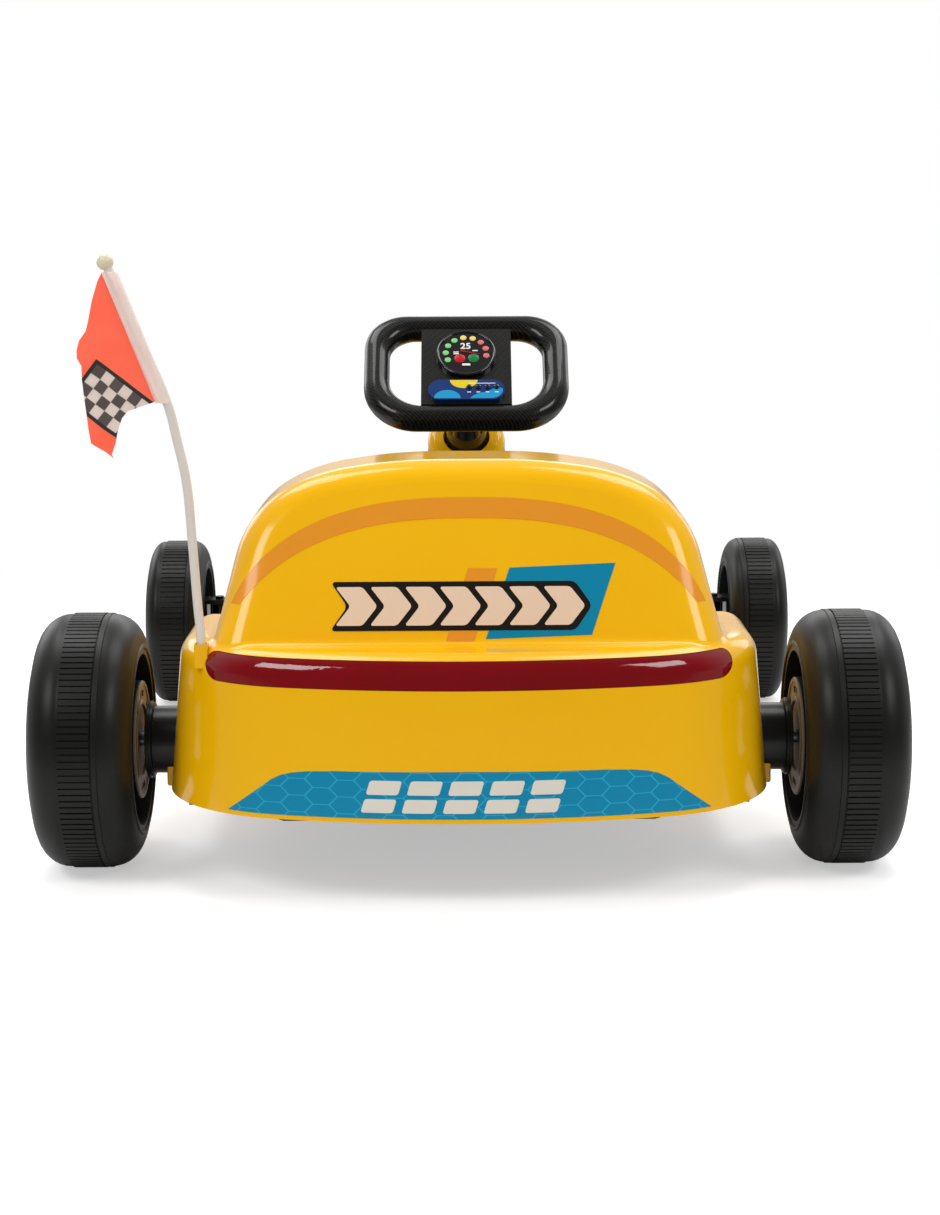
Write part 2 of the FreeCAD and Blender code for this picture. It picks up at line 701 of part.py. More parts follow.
def nose_form(inset):
    """Nose and cowl outside, or with an inset the hollow inside them."""
    low = size(FLOOR_TOP) - (10 if inset else 0)
    back = size(NOSE_BACK) + inset
    tip = size(NOSE) - 15 - inset
    wide = size(NOSE_HALF) - inset
    narrow = wide - size("sizes.nose_taper")
    plan = Part.Face(wire(mirrored([(wide, back, 0), (wide, back + 170, 90), (narrow, tip - inset, 40)]), level(low)))
    side = Part.Face(wire([
        (back, low),
        (back, low + 105, 14),
        (back + 104, low + 127, 120),
        (tip - 68, low + 95, 60),
        (tip, low + 41, 26 - inset),
        (tip, low),
    ], across(-wide))).extrude(V(2 * wide, 0, 0))
    nose = plan.extrude(V(0, 0, 300)).common(side)
    brow = [e for e in nose.Edges if abs(e.CenterOfMass.x) > 20 and e.CenterOfMass.z > low + 45 and e.CenterOfMass.y > back + 1]
    nose = nose.makeFillet(size("sizes.nose_edge_radius") - inset, brow)
    return nose.fuse(cowl_form(inset)).removeSplitter()


def nose_shape():
    """The nose shell with the column boss and the steering arches."""
    start = size("sizes.boss_start")
    length = size("sizes.boss_length")
    boss = Part.makeCylinder(size("sizes.boss_radius"), length, column_point(start), COLUMN)
    lip = [e for e in boss.Edges if e.CenterOfMass.distanceToPoint(column_point(start)) < 0.1]
    boss = boss.makeFillet(8, lip)
    shell = nose_form(0).fuse(boss).cut(nose_form(size("sizes.shell_wall")))
    bore = size("sizes.sleeve_radius") + size("sizes.sleeve_clearance")
    shell = shell.cut(Part.makeCylinder(bore, 300, column_point(start - 20), COLUMN))
    front = size(FRONT_Y)
    low = size("sizes.floor_low") - 8
    high = size("sizes.yoke_high") + 9
    reach = size(KINGPIN)
    arch = Part.makeBox(2 * reach, 128, high - low, V(-reach, front - 85, low))
    core = Part.makeBox(240, 128, high - low, V(-120, front - 85, low))
    return shell.cut(arch.cut(core))


feature("nose_body", nose_shape())

bumper = body("nose_bumper")
BUMPER = [
    ("0", "0"),
    (f"{NOSE_HALF} - sizes.nose_taper - 10", f"{NOSE} - 15"),
    (f"{NOSE_HALF} - sizes.nose_taper - 16", NOSE, "12"),
]
pad(bumper, sketch(bumper, "XY_Plane", "plan", both(BUMPER), "sizes.floor_low + 10"), "34")
keep(bumper, "nose_bumper")

# Drive and rear axle

axle = body("rear_axle")
NUT_START = "sizes.rear_track / 2 + sizes.rear_tyre_width / 2 - sizes.hub_recess + 0.5"
AXLE_END = f"{NUT_START} + 5.5"
pad(axle, circle_sketch(axle, "YZ_Plane", "bar", [("0", "0", "sizes.axle_radius")]), f"2 * ({AXLE_END})", middle=True)
place(axle, y=REAR_Y, z="sizes.rear_tyre_radius")
keep(axle, "rear_axle")
GEAR_END = f"({TAIL_HALF} - 18)"

for name, side in SIDES:
    nut = body(f"axle_nut_{name}")
    ring = circle_sketch(nut, "YZ_Plane", "ring", [("0", "0", "11"), ("0", "0", "sizes.axle_radius")])
    pad(nut, ring, "4")
    place(nut, x=("" if side > 0 else "-") + f"({NUT_START})" + (" - 4" if side < 0 else ""), y=REAR_Y, z="sizes.rear_tyre_radius")
    keep(nut, f"axle_nut_{name}")

    case = body(f"gearbox_{name}")
    case_outline = [
        ("-46", f"{FLOOR_TOP} - sizes.rear_tyre_radius"),
        ("46", f"{FLOOR_TOP} - sizes.rear_tyre_radius"),
        ("46", "38", "26"),
        ("-46", "38", "26"),
    ]
    pad(case, sketch(case, "YZ_Plane", "case", case_outline, f"{GEAR_END} - 88"), "88")
    neck = circle_sketch(case, "YZ_Plane", "neck", [("0", "0", "sizes.neck_radius")], GEAR_END)
    pad(case, neck, f"sizes.rear_track / 2 - sizes.neck_inset - {GEAR_END}")
    bore = circle_sketch(case, "YZ_Plane", "bore", [("0", "0", "sizes.axle_radius")], f"{GEAR_END} - 98")
    pocket(case, bore, "200", back=True)
    place(case, y=REAR_Y, z="sizes.rear_tyre_radius", axis=V(0, 0, 1), angle="0" if side > 0 else "180")
    keep(case, f"gearbox_{name}")

# Wheels, each built with +X outward

WHEELS = [
    ("rear", REAR_Y, "sizes.rear_tyre_radius", "sizes.rear_track"),
    ("front", FRONT_Y, "sizes.front_tyre_radius", "sizes.front_track"),
]


def shoulder(end):
    """Shoulder radius of a tyre: part of its depth, and no wider than beside the band."""
    depth = f"(sizes.{end}_tyre_radius - sizes.{end}_rim_radius - sizes.band_height)"
    return f"min(sizes.{end}_shoulder * {depth}; sizes.{end}_tyre_width / 2 - sizes.band_width / 2 - 0.5)"


# Disc face and its thickness, web face and back, hub radius, from the middle of the wheel
RIMS = {
    "rear": ("-(sizes.rear_tyre_width / 2 - 3)", "12", "-20", "-14", "22"),
    "front": ("-(sizes.front_tyre_width / 2 - 10)", "5", "-8", "-2", "18"),
}

for end, y, z, track in WHEELS:
    half, radius, rim = f"sizes.{end}_tyre_width / 2", f"sizes.{end}_tyre_radius", f"sizes.{end}_rim_radius"
    face, disc_thick, web_in, web_out, hub = RIMS[end]
    back = f"{face} + {disc_thick}"
    disc = f"sizes.{end}_hub_radius"
    barrel = f"{half} - 1.5"
    hub_end = f"({half} - sizes.hub_recess)"
    for name, side in SIDES:
        x = ("" if side > 0 else "-") + f"{track} / 2"
        turn = "0" if side > 0 else "180"
        tyre = body(f"{end}_tyre_{name}")
        tread = f"{radius} - sizes.band_height"
        section = [
            (f"-({half})", rim),
            (f"-({half})", tread, shoulder(end)),
            ("-sizes.band_width / 2", tread),
            ("-sizes.band_width / 2", radius),
            ("sizes.band_width / 2", radius),
            ("sizes.band_width / 2", tread),
            (half, tread, shoulder(end)),
            (half, rim),
        ]
        revolve(tyre, sketch(tyre, "XY_Plane", "section", section))
        keep(place(tyre, x=x, y=y, z=z, axis=V(0, 0, 1), angle=turn), f"{end}_tyre_{name}")

        wheel = body(f"{end}_rim_{name}")
        section = [
            (face, HUB_BORE),
            (face, disc),
            (back, disc),
            (back, hub),
            (web_in, hub),
            (web_in, f"{rim} - sizes.rim_wall"),
            (f"-({barrel})", f"{rim} - sizes.rim_wall"),
            (f"-({barrel})", rim),
            (barrel, rim),
            (barrel, f"{rim} - sizes.rim_wall"),
            (web_out, f"{rim} - sizes.rim_wall"),
            (web_out, hub),
            (hub_end, hub),
            (hub_end, HUB_BORE),
        ]
        revolve(wheel, sketch(wheel, "XY_Plane", "section", section))
        window = [
            (f"-({hub}) * 0.52", f"{hub} + 6", "3"),
            (f"-({rim} - sizes.rim_wall) * 0.42", f"({rim} - sizes.rim_wall) * 0.86", "5"),
            (f"({rim} - sizes.rim_wall) * 0.42", f"({rim} - sizes.rim_wall) * 0.86", "5"),
            (f"({hub}) * 0.52", f"{hub} + 6", "3"),
        ]
        opening = pocket(wheel, sketch(wheel, "YZ_Plane", "window", window, f"{web_out} + 1"), "8")
        polar(wheel, opening, "sizes.spoke_count", "X_Axis")
        keep(place(wheel, x=x, y=y, z=z, axis=V(0, 0, 1), angle=turn), f"{end}_rim_{name}")

        cap = body(f"{end}_cap_{name}")
        section = [
            (hub_end, f"{hub} - 4"),
            (hub_end, f"{hub} + 4"),
            (f"{hub_end} + 8", f"{hub} + 4", "3"),
            (f"{hub_end} + 12", "0"),
            (f"{hub_end} + 9", "0"),
            (f"{hub_end} + 6", f"{hub} - 4"),
        ]
        revolve(cap, sketch(cap, "XY_Plane", "section", section))
        keep(place(cap, x=x, y=y, z=z, axis=V(0, 0, 1), angle=turn), f"{end}_cap_{name}")

# Front beam, steering knuckles and tie rod


def slab(label, x0, x1, y0, y1, z0, z1, side=1):
    """A box between two values on each axis, mirrored to the left for side -1."""
    start = x0 if side > 0 else f"-({x1})"
    return block(label, f"({x1}) - ({x0})", f"({y1}) - ({y0})", f"({z1}) - ({z0})", start, y0, z0, final=False)


AXLE_Z = "sizes.front_tyre_radius"
FRONT_HUB_END = "(sizes.front_tyre_width / 2 - sizes.hub_recess)"
beam_parts = [slab("beam_bar", f"-({KINGPIN} - 2)", f"{KINGPIN} - 2", f"{FRONT_Y} - 10", f"{FRONT_Y} + 10", f"{AXLE_Z} - 8", f"{AXLE_Z} + 12")]
bores = []
for name, side in SIDES:
    x = ("" if side > 0 else "-") + f"{KINGPIN}"
    barrel_low = "sizes.yoke_low + sizes.yoke_thick + 1.5"
    barrel_high = "sizes.yoke_high - sizes.yoke_thick - 1.5"
    beam_parts.append(rod(f"barrel_{name}", "8.5", f"{barrel_high} - ({barrel_low})", x, FRONT_Y, barrel_low, final=False))
    bores.append(rod(f"barrel_bore_{name}", "sizes.kingpin_radius + 0.3", "80", x, FRONT_Y, "sizes.yoke_low - 10", final=False))
cut("front_beam", fuse("beam_solid", *beam_parts, final=False), fuse("beam_bores", *bores, final=False))

for name, side in SIDES:
    x = ("" if side > 0 else "-") + f"{KINGPIN}"
    inner, outer = f"{KINGPIN} - 8", f"{KINGPIN} + 18"
    pieces = [
        slab(f"arm_top_{name}", inner, outer, f"{FRONT_Y} - 12", f"{FRONT_Y} + 12", "sizes.yoke_high - sizes.yoke_thick", "sizes.yoke_high", side),
        slab(f"arm_low_{name}", inner, outer, f"{FRONT_Y} - 12", f"{FRONT_Y} + 12", "sizes.yoke_low", "sizes.yoke_low + sizes.yoke_thick", side),
        slab(f"plate_{name}", f"{KINGPIN} + 13", outer, f"{FRONT_Y} - 18", f"{FRONT_Y} + 18", "sizes.yoke_low", "sizes.yoke_high", side),
        slab(f"arm_back_{name}", f"{KINGPIN} - 7", f"{KINGPIN} + 7", f"{FRONT_Y} - sizes.arm_length - 8", f"{FRONT_Y} - 10", "sizes.yoke_low", "sizes.yoke_low + sizes.yoke_thick", side),
        rod(f"kingpin_{name}", "sizes.kingpin_radius", "sizes.yoke_high - sizes.yoke_low + 3", x, FRONT_Y, "sizes.yoke_low", final=False),
        rod(f"tie_pin_{name}", "sizes.tie_pin_radius", "sizes.tie_low + sizes.tie_thick + 3 - sizes.yoke_low", x, f"{FRONT_Y} - sizes.arm_length", "sizes.yoke_low", final=False),
        rod(f"stub_{name}", "sizes.axle_radius", f"sizes.front_track / 2 + {FRONT_HUB_END} + 4 - {KINGPIN} - 14", ("" if side > 0 else "-") + f"({KINGPIN} + 14)", FRONT_Y, AXLE_Z, V(0, 1, 0), "90" if side > 0 else "-90", final=False),
        rod(f"stub_nut_{name}", "10", "3", ("" if side > 0 else "-") + f"(sizes.front_track / 2 + {FRONT_HUB_END} + 0.5)", FRONT_Y, AXLE_Z, V(0, 1, 0), "90" if side > 0 else "-90", final=False),
    ]
    fuse(f"knuckle_{name}", *pieces)

tie = body("tie_rod")
PIN_Y = f"({FRONT_Y} - sizes.arm_length)"
TIE = [
    ("0", "0"),
    ("sizes.crank_pin_radius + 9", f"{PIN_Y} - 64", "4"),
    ("sizes.crank_pin_radius + 9", f"{PIN_Y} - 6"),
    (f"{KINGPIN} + 9", f"{PIN_Y} - 6", "5"),
    (f"{KINGPIN} + 9", f"{PIN_Y} + 6", "5"),
]
pad(tie, sketch(tie, "XY_Plane", "bar", both(TIE), "sizes.tie_low"), "sizes.tie_thick")
eyes = circle_sketch(tie, "XY_Plane", "eyes", [
    (f"-{KINGPIN}", PIN_Y, "sizes.tie_pin_radius + sizes.pin_clearance"),
    (f"{KINGPIN}", PIN_Y, "sizes.tie_pin_radius + 1.2"),
], "sizes.tie_low")
pocket(tie, eyes, "sizes.tie_thick", back=True)
SLOT = [
    ("0", "0"),
    ("sizes.crank_pin_radius + 2", f"{PIN_Y} - 57", "5"),
    ("sizes.crank_pin_radius + 2", f"{PIN_Y} - 26", "5"),
]
pocket(tie, sketch(tie, "XY_Plane", "slot", both(SLOT), "sizes.tie_low"), "sizes.tie_thick", back=True)
keep(tie, "tie_rod")

# Steering column, built in its own frame: +Z down the column, +Y towards its lower side


RAKE = "-(90 + sizes.column_rake)"


def on_column(piece):
    return place(piece, "0", WHEEL_Y, "sizes.wheel_height", V(1, 0, 0), RAKE)


shaft = body("steering_shaft")
pad(shaft, circle_sketch(shaft, "XY_Plane", "bar", [("0", "0", "sizes.shaft_radius")], "10"), f"{CRANK_AT} - 8")
crank = [
    ("-10", "-10", "8"),
    ("10", "-10", "8"),
    ("9", "sizes.crank_radius + 9", "8"),
    ("-9", "sizes.crank_radius + 9", "8"),
]
pad(shaft, sketch(shaft, "XY_Plane", "crank", crank, CRANK_AT), "sizes.crank_thick")
pin = circle_sketch(shaft, "XY_Plane", "pin", [("0", "sizes.crank_radius", "sizes.crank_pin_radius")], f"{CRANK_AT} + sizes.crank_thick")
pad(shaft, pin, "30")
keep(on_column(shaft), "steering_shaft")

sleeve = body("column_sleeve")
tube = circle_sketch(sleeve, "XY_Plane", "tube", [("0", "0", "sizes.sleeve_radius"), ("0", "0", "sizes.shaft_radius")], "sizes.panel_thick / 2 + 2")
pad(sleeve, tube, "132")
keep(on_column(sleeve), "column_sleeve")

def column_expression(s, up):
    """World y and z, as expressions, of a point down the column and so far above its axis."""
    y = f"{WHEEL_Y} + ({s}) * cos(sizes.column_rake) + ({up}) * sin(sizes.column_rake)"
    z = f"sizes.wheel_height - ({s}) * sin(sizes.column_rake) + ({up}) * cos(sizes.column_rake)"
    return y, z


BRACKET_AT = f"({CRANK_AT} - sizes.bearing_rise)"
bearing = block("bearing_plate", "100", "32", "8", final=False)
y, z = column_expression(BRACKET_AT, "16")
place(bearing, "-50", y, z, V(1, 0, 0), RAKE)
y, z = column_expression(f"{BRACKET_AT} - 5", "0")
bearing_bore = rod("bearing_bore", "sizes.shaft_radius + 0.3", "20", "0", y, z, V(1, 0, 0), RAKE, final=False)
legs = [
    slab(f"bearing_leg_{name}", "42", "50", f"{NOSE_BACK} + 8", f"{NOSE_BACK} + 28", FLOOR_TOP, "140", side)
    for name, side in SIDES
]
cut("column_bracket", fuse("bearing_solid", bearing, *legs, final=False), bearing_bore)

wheel = body("steering_wheel")


def ring_outline(wide, tall):
    """Outline of the steering wheel's ring, rounder towards the driver."""
    upper, lower = f"0.58 * ({tall})", f"0.74 * ({tall})"
    return [(f"-({wide})", f"-({tall})", upper), (wide, f"-({tall})", upper), (wide, tall, lower), (f"-({wide})", tall, lower)]


hole, tall = "sizes.rim_half_width - sizes.grip_radius", "sizes.rim_half_height - sizes.grip_radius"
outside = ring_outline("sizes.rim_half_width + sizes.grip_radius", "sizes.rim_half_height + sizes.grip_radius")
pad(wheel, sketch(wheel, "XY_Plane", "ring", outside, "-sizes.grip_radius"), "2 * sizes.grip_radius")
inside = sketch(wheel, "XY_Plane", "opening", ring_outline(hole, tall), "-sizes.grip_radius")
pocket(wheel, inside, "2 * sizes.grip_radius", back=True)
fillet(wheel, "sizes.grip_radius - 0.6", lambda e: abs(abs(e.CenterOfMass.z) - size("sizes.grip_radius")) < 0.1)
panel = [
    ("-sizes.panel_half_width", f"-({tall}) - 3"),
    ("sizes.panel_half_width", f"-({tall}) - 3"),
    ("sizes.panel_half_width", f"{tall} + 3"),
    ("-sizes.panel_half_width", f"{tall} + 3"),
]
pad(wheel, sketch(wheel, "XY_Plane", "panel", panel, "-sizes.panel_thick / 2"), "sizes.panel_thick")
pad(wheel, circle_sketch(wheel, "XY_Plane", "socket", [("0", "0", "sizes.sleeve_radius + 2"), ("0", "0", "sizes.shaft_radius")], "sizes.panel_thick / 2"), "2")
keep(on_column(wheel), "steering_wheel")

dial = body("dial")
pad(dial, circle_sketch(dial, "XY_Plane", "disc", [("0", "-sizes.dial_offset", "sizes.dial_radius")], "-sizes.panel_thick / 2 - 4"), "4")
keep(on_column(dial), "dial")
strip = body("control_strip")
bar = [("-37", "sizes.strip_offset - 12.5", "12"), ("37", "sizes.strip_offset - 12.5", "12"), ("37", "sizes.strip_offset + 12.5", "12"), ("-37", "sizes.strip_offset + 12.5", "12")]
pad(strip, sketch(strip, "XY_Plane", "strip", bar, "-sizes.panel_thick / 2 - 4"), "4")
keep(on_column(strip), "control_strip")

# Pedal, switch plate, charging socket

pedal = body("accelerator_pedal")
side_view = [
    (f"{FRONT_Y} - 229", FLOOR_TOP),
    (f"{FRONT_Y} - 165", FLOOR_TOP),
    (f"{FRONT_Y} - 165", "112", "4"),
    (f"{FRONT_Y} - 173", "114", "3"),
    (f"{FRONT_Y} - 229", f"{FLOOR_TOP} + 12", "6"),
]
pad(pedal, sketch(pedal, "YZ_Plane", "side", side_view, PEDAL_X), "sizes.pedal_width")
keep(pedal, "accelerator_pedal")

plate = body("switch_plate")
PLATE_X = (f"{POD_OUTER} - 48", f"{POD_OUTER} - 18")
PLATE_Y = (f"{FRONT_Y} - 377", f"{FRONT_Y} - 317")
corners = [(PLATE_X[0], PLATE_Y[0], "5"), (PLATE_X[1], PLATE_Y[0], "5"), (PLATE_X[1], PLATE_Y[1], "5"), (PLATE_X[0], PLATE_Y[1], "5")]
pad(plate, sketch(plate, "XY_Plane", "plan", corners, "sizes.pod_top"), "5")
keep(plate, "switch_plate")

jack = body("charging_socket")
pad(jack, circle_sketch(jack, "XY_Plane", "flange", [(*JACK, "12")], "sizes.pod_top"), "4")
pad(jack, circle_sketch(jack, "XY_Plane", "barrel", [(*JACK, "7.8")], "sizes.pod_top"), "14", back=True)
pocket(jack, circle_sketch(jack, "XY_Plane", "bore", [(*JACK, "4")], "sizes.pod_top + 4"), "12")
keep(jack, "charging_socket")

# Flag

socket = body("flag_socket")
square = both([("0", "0"), ("sizes.socket_half", "-sizes.socket_half"), ("sizes.socket_half", "sizes.socket_half")])
pad(socket, sketch(socket, "XY_Plane", "square", square, "sizes.shelf_height - 36"), "36")
hole = circle_sketch(socket, "XY_Plane", "bore", [("0", "0", "sizes.pole_radius + 0.1")], "sizes.shelf_height")
pocket(socket, hole, "28")
place(socket, x=SOCKET_X, y=SOCKET_Y)
keep(socket, "flag_socket")

# Offsets from the top of the socket, seen from behind: pole, its tip, and the cloth as it hangs
POLE = [(0, -28), (0, 1), (-2.4, 36), (-5.4, 86), (-9.2, 135.6), (-15.8, 168.5), (-22.6, 197.4)]
TIP = (-68.4, 308.3)
CLOTH = [
    (-73.8, 304.4), (-80.7, 289.3), (-86.3, 267.7), (-93.2, 251.7), (-95.3, 239.6), (-92.3, 231.5),
    (-91.9, 218.6), (-90.3, 192.7), (-86.2, 167.5), (-79.9, 160.9), (-66.3, 152.6), (-67.3, 172.2),
    (-61, 187.6), (-54.4, 193.2), (-31.9, 200.2),
]


def flag_point(offset, y):
    return V(size(SOCKET_X) + offset[0], y, size("sizes.shelf_height") + offset[1])


def pole_shape():
    """Bent pole with the straight sleeve of the cloth on its upper end."""
    y = size(SOCKET_Y)
    points = [flag_point(p, y) for p in POLE]
    start = points[-1]
    end = flag_point(TIP, y)
    bend = Part.BSplineCurve()
    bend.interpolate(Points=points[1:], InitialTangent=V(0, 0, 1), FinalTangent=(end - start).normalize())
    path = Part.Wire([Part.LineSegment(points[0], points[1]).toShape(), bend.toShape()])
    section = Part.Wire([Part.Circle(points[0], V(0, 0, 1), size("sizes.pole_radius")).toShape()])
    pole = path.makePipeShell([section], True, True)
    tube = Part.makeCylinder(5.6, (end - start).Length, start, end - start)
    return pole.fuse(tube).removeSplitter().cut(Part.makeSphere(6.8, flag_point(KNOB, y)))


def cloth_shape():
    """The cloth: a thin sheet in standing folds, cut to the outline in which it hangs."""
    y = size(SOCKET_Y)
    fold = size("sizes.flag_fold")
    thick = size("sizes.flag_thick")
    left = min(p[0] for p in CLOTH) - 4
    count = 17
    edge = [V(left + i * 4.5, fold * math.sin(i * math.pi / 3), 0) for i in range(count)]
    sides = []
    for lift in (-thick / 2, thick / 2):
        curve = Part.BSplineCurve()
        curve.interpolate([V(size(SOCKET_X) + p.x, y + p.y + lift, 0) for p in edge])
        sides.append(curve)
    ends = [
        Part.LineSegment(sides[0].StartPoint, sides[1].StartPoint),
        Part.LineSegment(sides[0].EndPoint, sides[1].EndPoint),
    ]
    ribbon = Part.Face(Part.Wire(Part.sortEdges([c.toShape() for c in sides + ends])[0]))
    folds = ribbon.extrude(V(0, 0, size("sizes.shelf_height") + TIP[1]))
    outline_face = Part.Face(Part.makePolygon([flag_point(p, y - 20) for p in CLOTH + CLOTH[:1]]))
    return folds.common(outline_face.extrude(V(0, 40, 0)))


KNOB = (TIP[0] - 1.6, TIP[1] + 3.8)
feature("flag_pole", pole_shape())
tip = doc.addObject("Part::Sphere", "pole_tip")
tip.Radius = 6.8
place(tip, x=f"{SOCKET_X} + {KNOB[0]}", y=SOCKET_Y, z=f"sizes.shelf_height + {KNOB[1]}")
keep(tip, "pole_tip")
feature("flag_cloth", cloth_shape())

doc.recompute()
os.makedirs("parts", exist_ok=True)
for node in NODES:
    if "Invalid" in node.State or "Error" in node.State or not node.Shape.isValid():
        raise RuntimeError(f"{node.Label} is not sound: {node.State}")
    if len(node.Shape.Solids) != 1:
        raise RuntimeError(f"{node.Label} is {len(node.Shape.Solids)} solids")
    node.Shape.exportStep(f"parts/{node.Label}.step")
print(len(NODES), "pieces")
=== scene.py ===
# %% [markdown]
# # A child's electric go-kart, dressed
# The solids of the kart come in as a frame that stays where it is. Every cell below makes one piece
# or one finish, and prints what it made. Lengths are in metres, and MM turns millimetres into them.
# X is the driver's right, Y is forward, Z is up.

# %% Start
import json
import math
import bpy
from mathutils import Matrix, Vector

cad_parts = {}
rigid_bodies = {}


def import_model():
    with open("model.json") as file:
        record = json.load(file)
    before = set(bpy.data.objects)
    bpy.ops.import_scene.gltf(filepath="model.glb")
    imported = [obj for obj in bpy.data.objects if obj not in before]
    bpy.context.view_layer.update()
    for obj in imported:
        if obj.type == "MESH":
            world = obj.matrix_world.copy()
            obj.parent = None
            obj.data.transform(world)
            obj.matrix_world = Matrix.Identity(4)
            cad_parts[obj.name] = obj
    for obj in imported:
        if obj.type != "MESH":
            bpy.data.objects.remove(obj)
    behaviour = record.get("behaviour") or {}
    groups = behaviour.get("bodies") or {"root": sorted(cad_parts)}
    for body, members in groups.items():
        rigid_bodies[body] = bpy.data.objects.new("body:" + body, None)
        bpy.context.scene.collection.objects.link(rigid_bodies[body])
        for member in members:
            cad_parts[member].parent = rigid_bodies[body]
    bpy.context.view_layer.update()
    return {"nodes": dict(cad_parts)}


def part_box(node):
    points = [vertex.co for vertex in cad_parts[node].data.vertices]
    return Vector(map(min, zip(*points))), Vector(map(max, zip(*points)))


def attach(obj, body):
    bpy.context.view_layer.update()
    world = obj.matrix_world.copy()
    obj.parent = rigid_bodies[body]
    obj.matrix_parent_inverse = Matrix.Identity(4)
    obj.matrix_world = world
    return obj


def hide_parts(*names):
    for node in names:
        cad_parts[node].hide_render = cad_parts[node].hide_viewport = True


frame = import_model()
nodes = frame["nodes"]
MM = 0.001
SIDES = (("left", -1), ("right", 1))

# %% [markdown]
# ## Camera
# The picture is taken from behind, a little above the flag's tip, with a long lens. The camera is
# tilted down by less than ten degrees, so the wheels stay nearly upright. It could be moved about by
# eye, but its place, lens and tilt follow from the four wheels and the level of the floor, so they
# were worked out from those.

# %% Camera
EYE = Vector((-0.0055, -2.3397, 0.5568))
LENS = 69.6
TILT, PAN, ROLL = math.radians(9.51), math.radians(-0.20), math.radians(-0.275)
lens_data = bpy.data.cameras.new("camera")
lens_data.lens = LENS
lens_data.sensor_fit = "VERTICAL"
lens_data.sensor_height = 36
lens_data.clip_end = 50
camera = bpy.data.objects.new("camera", lens_data)
bpy.context.scene.collection.objects.link(camera)
camera.location = EYE
heading = Matrix.Rotation(PAN, 4, "Z") @ Matrix.Rotation(math.pi / 2 - TILT, 4, "X")
camera.rotation_euler = (heading @ Matrix.Rotation(ROLL, 4, "Z")).to_euler()
bpy.context.scene.camera = camera
bpy.context.scene.view_settings.view_transform = "Standard"
print("camera:", tuple(round(v, 3) for v in EYE), LENS, "mm")

# %% [markdown]
# ## Lamps
# Glossy plastic shows its light as much as its colour. In a photo studio that light comes from soft
# boxes, large lit cloths whose mirror images are the highlights. Two stand beside the photographer
# and light the tail, two hang over the seat and draw the brow of the hump, two stand beside the
# nose and pale the edges of the shoulders, and one lights the front. Area lamps are such boxes. Each
# line below gives a box's place, the point it faces, its width and height, and its power.

# %% Lamps
BOXES = {
    "box_back_left": ((-1.5, -1.6, 2.0), (0, 0, 0.2), 1.1, 0.8, 19),
    "box_back_right": ((1.6, -1.5, 1.9), (0, 0, 0.2), 1.0, 0.8, 16),
    "box_over_left": ((-0.6, 0.25, 1.75), (-0.1, -0.3, 0.3), 0.5, 1.0, 7),
    "box_over_right": ((0.65, 0.25, 1.75), (0.1, -0.3, 0.3), 0.6, 1.0, 8),
    "box_side_left": ((-1.75, 1.9, 1.15), (-0.2, -0.3, 0.2), 1.2, 1.1, 8),
    "box_side_right": ((1.9, 1.9, 1.15), (0.2, -0.3, 0.2), 0.8, 1.1, 4),
    "box_front": ((0.2, 2.8, 1.5), (0, 0.2, 0.2), 2.2, 1.0, 12),
}


def soft_box(name, place, aim, width, height, power):
    """A soft rectangular lamp that faces a point."""
    data = bpy.data.lights.new(name, "AREA")
    data.shape = "RECTANGLE"
    data.size = width
    data.size_y = height
    data.energy = power
    lamp = bpy.data.objects.new(name, data)
    bpy.context.scene.collection.objects.link(lamp)
    lamp.location = place
    lamp.rotation_euler = (Vector(aim) - Vector(place)).to_track_quat("-Z", "Y").to_euler()


for name, (place, aim, width, height, power) in BOXES.items():
    soft_box(name, place, aim, width, height, power)
print("lamps:", list(BOXES))

# %% [markdown]
# ## Shader tools
# Every finish below is a small tree of shader nodes. They could be placed and joined one by one, as
# in the editor. A few short tools keep each tree readable instead: a node is made with its values and
# its links in one line, two values are reckoned with, and colours or shaders are mixed by a share.

# %% Shader tools
WAVE_SCALE = 0.314


def fill(made, **values):
    """Fills in a node's inputs and settings by name, each with a value or another node's output."""
    for name, value in values.items():
        label = name.replace("_", " ")
        if hasattr(value, "is_output"):
            made.id_data.links.new(value, made.inputs[label])
        elif label in made.inputs:
            made.inputs[label].default_value = value
        else:
            setattr(made, name, value)
    return made


def feed(made, *terms):
    """Fills in a node's inputs in their order, in the same way."""
    for i, term in enumerate(terms):
        if hasattr(term, "is_output"):
            made.id_data.links.new(term, made.inputs[i])
        else:
            made.inputs[i].default_value = term
    return made


def node(tree, kind, **values):
    """A new shader node, filled in."""
    return fill(tree.nodes.new(kind), **values)


def new_finish(name):
    """A new material with its tree, its skin, and the place on the object for its textures."""
    material = bpy.data.materials.new(name)
    material.use_nodes = True
    tree = material.node_tree
    place = node(tree, "ShaderNodeTexCoord").outputs["Object"]
    return material, tree, tree.nodes["Principled BSDF"], place


def reckon(tree, operation, *terms):
    """The result of a sum."""
    return feed(node(tree, "ShaderNodeMath", operation=operation), *terms).outputs[0]


def between(tree, value, first, last, low=0.0, high=1.0):
    """A value carried from one range to another, smoothly."""
    return node(
        tree, "ShaderNodeMapRange", interpolation_type="SMOOTHSTEP", Value=value, From_Min=first,
        From_Max=last, To_Min=low, To_Max=high).outputs["Result"]


def tinted(tree, share, first, second):
    """The first colour mixed with a share of the second."""
    return node(
        tree, "ShaderNodeMix", data_type="RGBA", Factor=share, A=first, B=second).outputs["Result"]


def mixed(tree, share, first, second):
    """The first shader mixed with a share of the second."""
    return feed(node(tree, "ShaderNodeMixShader"), share, first, second).outputs[0]


